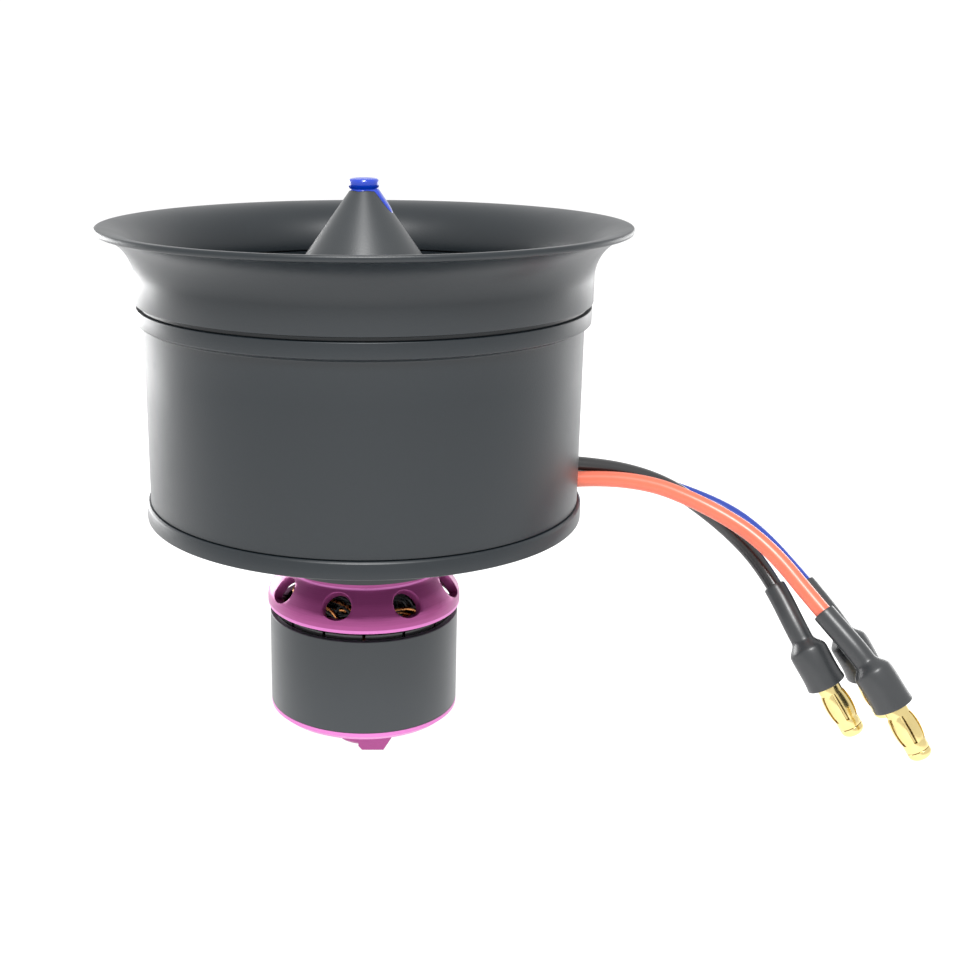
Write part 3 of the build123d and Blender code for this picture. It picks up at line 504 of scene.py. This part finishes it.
# %% [markdown]
# ## The stator
# Five curved vanes straighten the air behind the fan and hold the motor's hub. They are moulded with a thin
# sleeve inside the shroud and with the flange that closes it at the rear. Hub and sleeve are turned walls with
# openings for the leads. A vane is one closed section that is carried outwards, with a round nose and a thin tail.

# %% A blade section
def section(chord, thickness, camber, count=20):
    """A closed blade section as (along, across) points. Half its thickness follows the four-digit wing law,
    0.2969 sqrt x - 0.126 x - 0.3516 x^2 + 0.2843 x^3 - 0.1036 x^4, times five, on a parabolic camber line."""
    turn = np.linspace(0, TURN, 2 * count, endpoint=False)
    x = (1 + np.cos(turn)) / 2
    law = 5 * (0.2969 * np.sqrt(x) - 0.126 * x - 0.3516 * x**2 + 0.2843 * x**3 - 0.1036 * x**4)
    law = np.maximum(law, 0.16 * np.sqrt(np.clip(x * (1 - x), 0, None)))
    return (x - 0.5) * chord, np.sign(np.sin(turn)) * law * thickness + camber * 4 * x * (1 - x)


def blade(stations, middle, azimuth):
    """The quads of a blade. A station is (radius, chord, thickness, pitch, camber, lift). Its section is turned by
    its pitch, and wrapped round the fan's axis: angle = azimuth + sideways / radius, height = middle + upwards."""
    rings = []
    for radius, chord, thickness, pitch, camber, lift in stations:
        along, across = section(chord, thickness, camber)
        sideways = along * math.cos(pitch) - across * math.sin(pitch)
        upwards = along * math.sin(pitch) + across * math.cos(pitch) + lift
        angle = azimuth + sideways / radius
        rings.append(np.stack([radius * np.cos(angle), radius * np.sin(angle), middle + upwards], -1))
    rings = np.array(rings)
    grids = [rings]
    for ring in (rings[0], rings[-1]):
        opposite = ring[::-1][np.r_[-1, 0:len(ring) - 1]]
        grids.append(np.stack([ring, (ring + opposite) / 2]))
    return np.vstack([quads_of(grid, False, True) for grid in grids])


# %% Stator
HUB_R = 15.2
HUB_WALL = 1.4
HUB_FLOOR = 2.0
hub_top = sleeve_top
SLOT_BOTTOM = 2.65
sleeve_outer = np.array([
    (BORE_R + 0.3, 0.0), (flange_r - 0.12, 0.0), (flange_r, 0.12), (flange_r, 2.25), (flange_r - 0.1, 2.42),
    (flange_r - 0.35, 2.6), (SLEEVE_R + 0.1, 2.6), (SLEEVE_R, 2.62), (SLEEVE_R, SLOT_BOTTOM), (SLEEVE_R, NOTCH_TOP),
    (SLEEVE_R, hub_top - 0.2), (SLEEVE_R - 0.1, hub_top - 0.05),
])
sleeve_levels = np.r_[np.linspace(0, 2.6, 8), sleeve_outer[8:, 1]]
sleeve_inner = np.stack([np.full(12, BORE_R), sleeve_levels], 1)
flange = walled(sleeve_outer, sleeve_inner, [(*notch, 8, 9)], 256)
hub_outer = eased([
    (HUB_R - 1.0, hub_bottom), (HUB_R, hub_bottom), (HUB_R, 0.0), (HUB_R, NOTCH_TOP), (HUB_R, hub_top),
    (HUB_R - 0.7, hub_top),
], (0, 0.25, 0, 0, 0.2, 0), closed=False, steps=4)
hub_outer = hub_outer[np.r_[True, np.linalg.norm(np.diff(hub_outer, axis=0), axis=1) > 1e-6]]
window_rows = [int(np.argmin(np.abs(hub_outer[:, 1] - level))) for level in (0.0, NOTCH_TOP)]
rows = len(hub_outer)
hub_inner = np.stack([np.full(rows, HUB_R - HUB_WALL), np.linspace(hub_bottom + HUB_FLOOR, hub_top, rows)], 1)
for row in window_rows:
    hub_inner[row, 1] = hub_outer[row, 1]
window = [math.asin(y / HUB_R) for y in (-4.5, 4.5)]
FLOOR_BORE, FLOOR_R = 5.7, HUB_R - 0.9
floor_disc = [
    (FLOOR_BORE, hub_bottom), (FLOOR_R, hub_bottom),
    (FLOOR_R, hub_bottom + HUB_FLOOR), (FLOOR_BORE, hub_bottom + HUB_FLOOR),
]
hub = np.vstack([walled(hub_outer, hub_inner, [(*window, *window_rows)], 192), lathe(floor_disc, 96)])
VANE_COUNT, VANE_CHORD, VANE_BOTTOM = 5, 15.5, 2.4
VANE_LEAN = math.radians(105)
fillets = 0.7 * np.r_[1.6, 0.9, 0.35, 0.1, np.zeros(7), 0.1, 0.35, 0.9, 1.6]
vane_stations = [
    (radius, VANE_CHORD + grow, 1.7 + 0.8 * grow, VANE_LEAN, -1.6, 0.0)
    for radius, grow in zip(np.linspace(HUB_R - 0.5, BORE_R + 0.3, len(fillets)), fillets)
]
vanes = [blade(vane_stations, VANE_BOTTOM + VANE_CHORD / 2, math.radians(36 + 72 * k)) for k in range(VANE_COUNT)]
make("stator_flange", flange, "housing", "stator", sharp=35)
make("stator_hub", hub, "housing", "stator")
make("stator_vanes", np.vstack(vanes), "housing", "stator")

# %% [markdown]
# ## The fan
# Twelve wide blades stand on a drum. Each is thick and steep at its root, thin and flat at its tip, with a fillet
# where it meets the drum. The tips follow the bore and keep a small gap.

# %% Fan
WEB = (2.8, 4.8)
drum = eased([
    (HUB_R - HUB_WALL, rotor_bottom), (HUB_R, rotor_bottom), (HUB_R, rotor_top), (HUB_R - HUB_WALL, rotor_top),
    (HUB_R - HUB_WALL, rotor_bottom + WEB[1]), (5.8, rotor_bottom + WEB[1]), (5.8, rotor_bottom + 7.4),
    (2.55, rotor_bottom + 7.4), (2.55, rotor_bottom + 0.7), (5.8, rotor_bottom + 0.7), (5.8, rotor_bottom + WEB[0]),
    (HUB_R - HUB_WALL, rotor_bottom + WEB[0]),
], 0.2)
span = np.linspace(0, 1, 22)
blade_radii = HUB_R - 0.5 + span * (rotor_r - HUB_R + 0.5)
fillet = 0.9 * np.exp(-((blade_radii - HUB_R + 0.5) / 0.9) ** 2)
chords = np.interp(span, (0, 0.5, 1), (9.5, 12.5, 13.8)) + fillet
thicknesses = np.interp(span, (0, 0.5, 1), (1.5, 1.1, 0.8)) + 1.4 * fillet
pitches = np.radians(np.interp(span, (0, 0.5, 1), (52, 38, 30)))
chords[-2:] -= (0.15, 0.7)
thicknesses[-1] *= 0.6
fan_stations = list(zip(blade_radii, chords, thicknesses, pitches, np.full(22, 0.9), np.zeros(22)))
BLADE_COUNT, ROTOR_HEIGHT = 12, 11.65
blades = [blade(fan_stations, rotor_bottom + ROTOR_HEIGHT / 2, math.radians(30 * k)) for k in range(BLADE_COUNT)]
make("fan_drum", lathe(drum, 160), "rotor", "fan_rotor")
make("fan_blades", np.vstack(blades), "rotor", "fan_rotor")

# %% [markdown]
# ## The spinner and its lacquer seal
# The cone covers the fan's nut. One screw holds it at the tip, and a blob of blue lacquer seals the screw. The
# blob set with a flat top and a slightly raised edge, and a little of it ran down one side of the cone. The
# blob's edge is therefore a curve: its distance down the cone is a function of the angle round the axis.

# %% Spinner
spinner_tip = reach("spinner")[2]
TIP_R = 2.05
slope = (HUB_R - TIP_R) / (spinner_tip - rotor_top)
spinner_outline = eased([
    (HUB_R - 1.5, rotor_top - 0.8), (HUB_R - HUB_WALL - 0.05, rotor_top - 0.8), (HUB_R - HUB_WALL - 0.05, rotor_top),
    (HUB_R - 0.02, rotor_top + 0.02), (TIP_R, spinner_tip), (1.55, spinner_tip), (1.55, spinner_tip - 1.7),
    (1.05, spinner_tip - 1.7), (1.05, spinner_tip - 3.6), (2.9, spinner_tip - 4.8), (HUB_R - 2.0, rotor_top + 0.6),
], (0.1, 0.1, 0.1, 0.12, 0.15, 0.1, 0.1, 0.1, 0.1, 0.1, 0.1))
make("cone_spinner", lathe(spinner_outline, 224), "rotor", "spinner")

# %% Lacquer seal
bead_top = reach("seal_bead")[2] - 0.25
angles = full_turn(144)
run = 3.3 * np.exp(-np.abs((angles + 0.22) / 0.36) ** 3)
edge = (0.05 + 0.10 * np.sin(3 * angles + 1) ** 2 + run).reshape(-1, 1)
t = np.linspace(0, 1, 34).reshape(1, -1)
down = edge * (1 - t)
film = 0.26 * np.sin(math.pi * np.clip(t * 1.02, 0, 0.5)) ** 0.6
skirt = np.stack([TIP_R + slope * down - 0.03 + film * (0.35 + 0.65 * np.clip(run.reshape(-1, 1) / 2, 0, 1)),
                  spinner_tip - down + 0.06 * t], -1)
BEAD_R = 2.3
turn_up = np.linspace(-0.95, 0.5 * math.pi, 16)[1:].reshape(1, -1)
side_height = (bead_top - spinner_tip - 0.06) / 2
side_r = BEAD_R - 0.42 + 0.42 * np.cos(turn_up)
shoulder = np.stack([
    skirt[:, -1:, 0] * 0 + side_r, spinner_tip + 0.06 + side_height * (1 + np.sin(turn_up)) + 0 * edge,
], -1)
inward = np.linspace(1, 0, 18)[1:].reshape(1, -1)
top = np.stack([(BEAD_R - 0.42) * inward + 0 * edge, bead_top - 0.16 * (1 - inward**6) + 0 * edge], -1)
bead_outline = np.concatenate([skirt, shoulder, top], 1)
a = angles.reshape(-1, 1)
bead = np.stack([bead_outline[..., 0] * np.cos(a), bead_outline[..., 0] * np.sin(a), bead_outline[..., 1]], -1)
under = np.stack([bead[:, 0], bead[:, 0] * (0, 0, 1) + (0, 0, 0.4)], 1)
seal_quads = np.vstack([quads_of(bead, True), quads_of(under, True)])
make("lacquer_seal", seal_quads, "rotor", "seal_bead", sharp=60)

# %% [markdown]
# ## The motor's base
# A turned and anodised cap joins the motor to the stator's hub. Its sloping face has eight cooling holes. Each
# eighth of it is a patch: rays run from the hole's edge to the patch's border, first over the outside, then down
# the hole's wall and back over the inside. Wrapped round the axis, eight such patches weld into one cap.

# %% Motor base
def measured(path, step):
    """The path's points at even steps along it, each with the unit normal to its right, and its length."""
    path = np.array(path, float)
    at = np.r_[0, np.cumsum(np.linalg.norm(np.diff(path, axis=0), axis=1))]
    s = np.linspace(0, at[-1], int(at[-1] / step))
    points = np.stack([np.interp(s, at, path[:, k]) for k in (0, 1)], 1)
    slope = np.gradient(points, s, axis=0)
    normal = np.stack([-slope[:, 1], slope[:, 0]], 1)
    return s, points, normal / np.linalg.norm(normal, axis=1, keepdims=True)


BASE_R, BASE_TOP_R, BASE_HOLE_R, BASE_WALL = 15.5, 12.2, 2.25, 1.5
RIM_LEVEL, BASE_BOTTOM = -15.42, -15.6
HOLE_COUNT, FIRST_HOLE = 8, -107
base_face = eased([
    (BASE_TOP_R, hub_bottom), (BASE_TOP_R, -9.6), (13.9, -11.4), (15.3, -13.3), (BASE_R, -14.3), (BASE_R, RIM_LEVEL),
], (0, 0.3, 0.5, 0.12, 0.2, 0), closed=False, steps=6)
s, face_points, face_normals = measured(base_face, 0.03)
HOLE_CENTRE = 4.65
eighth = TURN / HOLE_COUNT


def on_base(angle, distance, depth):
    """The base's skin: the face's profile at that distance along it, sunk by the depth, turned by the angle."""
    at, normal = ([np.interp(distance, s, data[:, k]) for k in (0, 1)] for data in (face_points, face_normals))
    r, z = (at[k] - depth * normal[k] for k in (0, 1))
    return np.stack([r * np.cos(angle), r * np.sin(angle), z + 0 * r], -1)


def border(width, low, high, across=12, up=14):
    """Points round a rectangle's border, evenly spaced along each side."""
    u, v = np.linspace(-1, 1, across + 1)[:-1] * width / 2, np.linspace(low, high, up + 1)[:-1]
    right, left = np.full(up, width / 2), np.full(up, -width / 2)
    heights = np.r_[np.full(across, low), v, np.full(across, high), (low + high) - v]
    return np.stack([np.r_[u, right, -u, left], heights], 1)


FACE_R = 13.95
edge_points = border(eighth * FACE_R, -HOLE_CENTRE, s[-1] - HOLE_CENTRE)
around = np.arctan2(edge_points[:, 1], edge_points[:, 0])
hole = BASE_HOLE_R * np.stack([np.cos(around), np.sin(around)], 1)
outwards = np.r_[np.linspace(1, 0.04, 12), 0.015, 0.0, 0.0, 0.0, 0.04, np.linspace(0.2, 1, 6)].reshape(1, -1, 1)
depths = np.r_[np.zeros(12), 0.06, 0.2, 0.8, BASE_WALL - 0.1, BASE_WALL, np.full(6, BASE_WALL)].reshape(1, -1)
flat = hole[:, None] + (edge_points - hole)[:, None] * outwards
base_quads = [
    quads_of(on_base(centre + flat[..., 0] / FACE_R, HOLE_CENTRE + flat[..., 1], depths), True)
    for centre in np.radians(FIRST_HOLE + 45 * np.arange(HOLE_COUNT))
]
rim_angles = math.radians(FIRST_HOLE) + eighth * (np.arange(96) / 12 - 0.5)
inner_low = on_base(0.0, s[-1], BASE_WALL)
lower_rim = [
    (BASE_R, RIM_LEVEL), (BASE_R - 0.05, RIM_LEVEL - 0.1), (BASE_R - 0.15, BASE_BOTTOM),
    (inner_low[0] + 0.1, BASE_BOTTOM), (inner_low[0], inner_low[2]),
]
top_in = on_base(0.0, 0.0, BASE_WALL)
upper_rim = [(BASE_TOP_R, hub_bottom), (top_in[0], top_in[2])]
base_quads += [quads_of(turned(rim, rim_angles), True) for rim in (lower_rim, upper_rim)]
NECK_R, NECK_BORE, NECK_TOP, NECK_BOTTOM = 5.6, 4.52, 1.0, -31.4
plate_r, plate_bottom = top_in[0] - 0.05, hub_bottom - 2.0
base_quads.append(lathe([
    (NECK_BORE, NECK_TOP), (NECK_R, NECK_TOP), (NECK_R, hub_bottom), (plate_r, hub_bottom),
    (plate_r, plate_bottom), (NECK_R, plate_bottom), (NECK_R, NECK_BOTTOM), (NECK_BORE, NECK_BOTTOM),
], 96))
make("motor_base_cap", np.vstack(base_quads), "housing", "motor_base", sharp=32)

# %% [markdown]
# ## The windings' ends
# Behind the base's holes the enamelled wires of the three phases run round the neck before they are soldered to
# the leads. Each strand is a thin tube along a wavy arc: its radius and height are sums of two sines of the angle.
# Most are near black, a painted shade for the dark inside of the holes, and a few outer ones show copper.
# They are many, so a strand has six sides only.

# %% Wire strands
STRAND_R = 0.24


def strands(count, seed, radii):
    """The quads of wavy arcs round the neck. Along an arc the radius and height are r0 + dr sin(2a + p) and
    z0 + dz sin(3a + q), and the ends dip towards the coils."""
    draw = np.random.default_rng(seed)
    u = np.linspace(0, 1, 46)
    start, reach_angle = draw.uniform(0.55, 4.6, (count, 1)), draw.uniform(0.7, 1.9, (count, 1))
    angle = np.minimum(start + reach_angle * u, 5.75)
    r0, z0 = draw.uniform(*radii, (count, 1)), draw.uniform(-14.9, -10.9, (count, 1))
    z0 = np.minimum(z0, -10.6 - 0.75 * np.clip(r0 - 9.3, 0, None))
    r = r0 + draw.uniform(0.1, 0.5, (count, 1)) * np.sin(2 * angle + draw.uniform(0, 6, (count, 1)))
    z = z0 + draw.uniform(0.1, 0.5, (count, 1)) * np.sin(3 * angle + draw.uniform(0, 6, (count, 1)))
    z = z - 3.2 * np.exp(-u * 9) - 3.2 * np.exp(-(1 - u) * 9)
    line = np.stack([r * np.cos(angle), r * np.sin(angle), np.maximum(z, -16.2)], -1)
    tangent = np.gradient(line, axis=1)
    tangent /= np.linalg.norm(tangent, axis=-1, keepdims=True) + 1e-9
    out = np.stack([np.cos(angle), np.sin(angle), 0 * angle], -1)
    side = np.cross(tangent, out)
    side /= np.linalg.norm(side, axis=-1, keepdims=True) + 1e-9
    lift = np.cross(side, tangent)
    a = full_turn(6).reshape(1, 1, -1, 1)
    thick = STRAND_R * np.where((u == 0) | (u == 1), 0.02, 1).reshape(1, -1, 1, 1)
    tubes = line[:, :, None] + thick * (np.cos(a) * side[:, :, None] + np.sin(a) * lift[:, :, None])
    return np.vstack([quads_of(tube, False, True) for tube in tubes])


# These strands wear the black shrink finish as painted shade: they darken the inside of the base's holes.
finished(add_piece("phase_wires_painted_shade", strands(96, 7, (7.0, 10.6)), "housing"), "shrink_black")
finished(add_piece("phase_wire_ends", strands(20, 11, (9.6, 11.6)), "housing"), "copper_wire")

# %% [markdown]
# ## The motor's can
# The can is a drawn steel tube that spins with its ring of magnets. Its edges are broken by a small radius.

# %% Can
can_r, can_bottom, can_top = reach("motor_can")
can_outline = eased([(can_r - 1, can_bottom), (can_r, can_bottom), (can_r, can_top), (can_r - 1, can_top)], 0.18)
make("motor_can_shell", lathe(can_outline, 224), "rotor", "motor_can")

# %% [markdown]
# ## Sleeves and plugs along the leads
# A heat-shrink sleeve grips the end of each lead and swells over the plug's solder cup. The plug is turned brass:
# a collar, a thin pin and a rounded nose, with a spring cage of six bowed slats round the pin. Each is a round
# outline carried along the lead's own line, and straight on past its end.

# %% Carried along a lead
def carrier(colour):
    """A function like turned() that carries (radius, distance) points along the lead's line. Distances count from
    the sleeve's neck, where the plug's axis begins. Past its end the line goes straight on."""
    line, route = lines[colour], np.array(ROUTES[colour])
    steps = np.linalg.norm(np.diff(line, axis=0), axis=1)
    at = np.r_[0, np.cumsum(steps)]
    ahead = route[-1] - route[-2]
    neck = at[-1] - np.linalg.norm(ahead)
    ahead = ahead / np.linalg.norm(ahead)

    def place(outline, angles):
        r, distance = np.array(outline, float).T
        along = neck + distance

        def centre(where):
            inside = np.stack([np.interp(where, at, line[:, k]) for k in range(3)], -1)
            return inside + np.maximum(where - at[-1], 0)[:, None] * ahead

        tangent = centre(along + 0.4) - centre(along - 0.4)
        tangent /= np.linalg.norm(tangent, axis=1, keepdims=True)
        side = np.cross(tangent, (0, 1, 0))
        side /= np.linalg.norm(side, axis=1, keepdims=True)
        up = np.cross(side, tangent)
        a = np.reshape(angles, (-1, 1, 1))
        return centre(along)[None] + r[None, :, None] * (np.cos(a) * side[None] + np.sin(a) * up[None])

    return place


# %% Heat shrink
SHRINK_START, SHRINK_END = -10.4, 6.4
climb = np.linspace(0, 1, 14)
shrink_outline = np.vstack([
    [(LEAD_R - 0.02, SHRINK_START), (1.55, SHRINK_START), (1.66, SHRINK_START + 0.06), (1.7, SHRINK_START + 0.2)],
    np.stack([np.full(16, 1.7), np.linspace(SHRINK_START + 0.6, -1.5, 16)], 1),
    np.stack([1.7 + 1.16 * (3 * climb**2 - 2 * climb**3), -1.2 + 2.0 * climb], 1),
    [(2.89, 1.2), (2.88, 2.2), (2.84, 3.4), (2.84, 4.6), (2.88, 5.5), (2.97, 6.15), (2.95, 6.32), (2.84, SHRINK_END)],
    [(2.62, 6.34), (2.5, 6.1), (2.46, 4.6), (2.3, 1.5), (LEAD_R - 0.02, -0.4)],
])
for colour in ROUTES:
    grid = carrier(colour)(shrink_outline, full_turn(56))
    make(f"shrink_sleeve_{colour}", quads_of(grid, True, True), "housing", f"heat_shrink_{colour}")

# %% Bullet plugs
PIN_START, NOSE_START, PLUG_END = 6.4, 13.7, 15.2
CUP_START, COLLAR_START = 1.6, 5.6
CUP_R, COLLAR_R, PIN_R, NOSE_R, AXIS_R = 2.3, 2.45, 1.2, 1.75, 0.001
bullet_outline = eased([
    (AXIS_R, CUP_START), (CUP_R, CUP_START), (CUP_R, COLLAR_START), (COLLAR_R, COLLAR_START), (COLLAR_R, PIN_START),
    (PIN_R, PIN_START), (PIN_R, NOSE_START), (NOSE_R, NOSE_START), (NOSE_R, PLUG_END - 0.75),
    (1.3, PLUG_END - 0.2), (0.6, PLUG_END), (AXIS_R, PLUG_END),
], (0, 0.1, 0.1, 0.1, 0.15, 0.1, 0.1, 0.12, 0.3, 0.3, 0.3, 0))
slat = np.linspace(0, 1, 14)
CAGE = (PIN_START + 0.05, NOSE_START - 0.05)
RING = 1.35
cage_rows = np.r_[
    CAGE[0], CAGE[0] + 0.08, CAGE[0] + RING - 0.1, CAGE[0] + RING + slat * (CAGE[1] - CAGE[0] - 2 * RING),
    CAGE[1] - RING + 0.1, CAGE[1] - 0.08, CAGE[1],
]
bow = np.r_[-0.06, 0, 0, 0.34 * np.sin(np.pi * slat) ** 0.7, 0, 0, -0.06]
cage_outer = np.stack([NOSE_R + bow, cage_rows], 1)
cage_inner = np.stack([NOSE_R + np.maximum(bow, 0) - 0.28, cage_rows], 1)
half_slot = 0.14
slots = [(c - half_slot, c + half_slot, 3, 16) for c in np.radians(np.arange(-150, 180, 60))]
for colour in ROUTES:
    place = carrier(colour)
    grid = place(bullet_outline, full_turn(48))
    plug = make(f"bullet_plug_{colour}", quads_of(grid, True, True), "housing", f"bullet_{colour}")
    cage_quads = walled(cage_outer, cage_inner, slots, 72, place)
    cage = make(f"spring_cage_{colour}", cage_quads, "housing", f"bullet_cage_{colour}")

# %% [markdown]
# ## The leads themselves
# A lead is a soft tube round its own line, with closed ends, so it is made by the same carrying of a circle along
# the line. The point where it leaves the shroud is found and printed.

# %% The leads as tubes
EXIT_X = 31.0
for colour, line in lines.items():
    rings = np.linspace(-lengths[colour], 0, 360) + np.linalg.norm(np.subtract(*ROUTES[colour][-2:]))
    tube = np.vstack([[(0.001, rings[0])], np.stack([np.full(360, LEAD_R), rings], 1), [(0.001, rings[-1])]])
    quads = quads_of(carrier(colour)(tube, full_turn(28)), True)
    lead = make(f"silicone_lead_{colour}", quads, "housing", f"lead_{colour}")
    level_run = line[line[:, 2] > 2]
    leaving = level_run[np.argmin(np.abs(level_run[:, 0] - EXIT_X))]
    tuple(leaving * MM)
    [tuple(point * MM) for point in line]
    print("lead", colour, "leaves the shroud at", np.round(leaving, 1))

# %% [markdown]
# ## The studio
# A product of this kind is shown on white, in even light, so that its dark plastic reads by its outline. Soft boxes
# behind it at both sides give pale edges, and one in front and above gives the cone its highlight.

# %% Floor
floor_mesh = bpy.data.meshes.new("studio_floor")
FLOOR_LEVEL = -0.075
rings, spokes = np.array([0.0, 4.0]), full_turn(64)
floor_points = np.stack([
    np.outer(rings, np.cos(spokes)), np.outer(rings, np.sin(spokes)), np.full((2, 64), FLOOR_LEVEL),
], -1)
floor_quads = quads_of(floor_points, False, True)
floor_mesh.from_pydata(floor_quads.reshape(-1, 3), [], np.arange(len(floor_quads) * 4).reshape(-1, 4))
floor = bpy.data.objects.new("studio_floor", floor_mesh)
scene.collection.objects.link(floor)
paper = Finish("studio_paper", (0.86, 0.86, 0.86), 0.8)
paper.feed("Base Color", paper.tint(paper.noise(0.002, 2), (0.93, 0.93, 0.935), (0.95, 0.95, 0.945)))
floor_mesh.materials.append(paper.material)

# %% Lights
def soft_box(name, place, size, power):
    """An area light that faces the unit."""
    light = bpy.data.lights.new(name, "AREA")
    light.shape = "RECTANGLE"
    light.size, light.size_y = size
    light.energy = power
    lamp = bpy.data.objects.new(name, light)
    lamp.location = place
    lamp.rotation_euler = (-Vector(place)).to_track_quat("-Z", "Y").to_euler()
    scene.collection.objects.link(lamp)


soft_box("left_box", (-0.42, 0.45, 0.03), (0.4, 0.25), 2.6)
soft_box("right_box", (0.45, 0.45, 0.03), (0.4, 0.2), 0.9)
soft_box("front_box", (0.0, -0.39, 0.54), (0.20, 0.16), 4.5)
world = bpy.data.worlds.new("studio")
scene.world = world
world.use_nodes = True
world.node_tree.nodes["Background"].inputs["Color"].default_value = (1, 1, 1, 1)
world.node_tree.nodes["Background"].inputs["Strength"].default_value = 1.1
scene.view_settings.view_transform = "Standard"
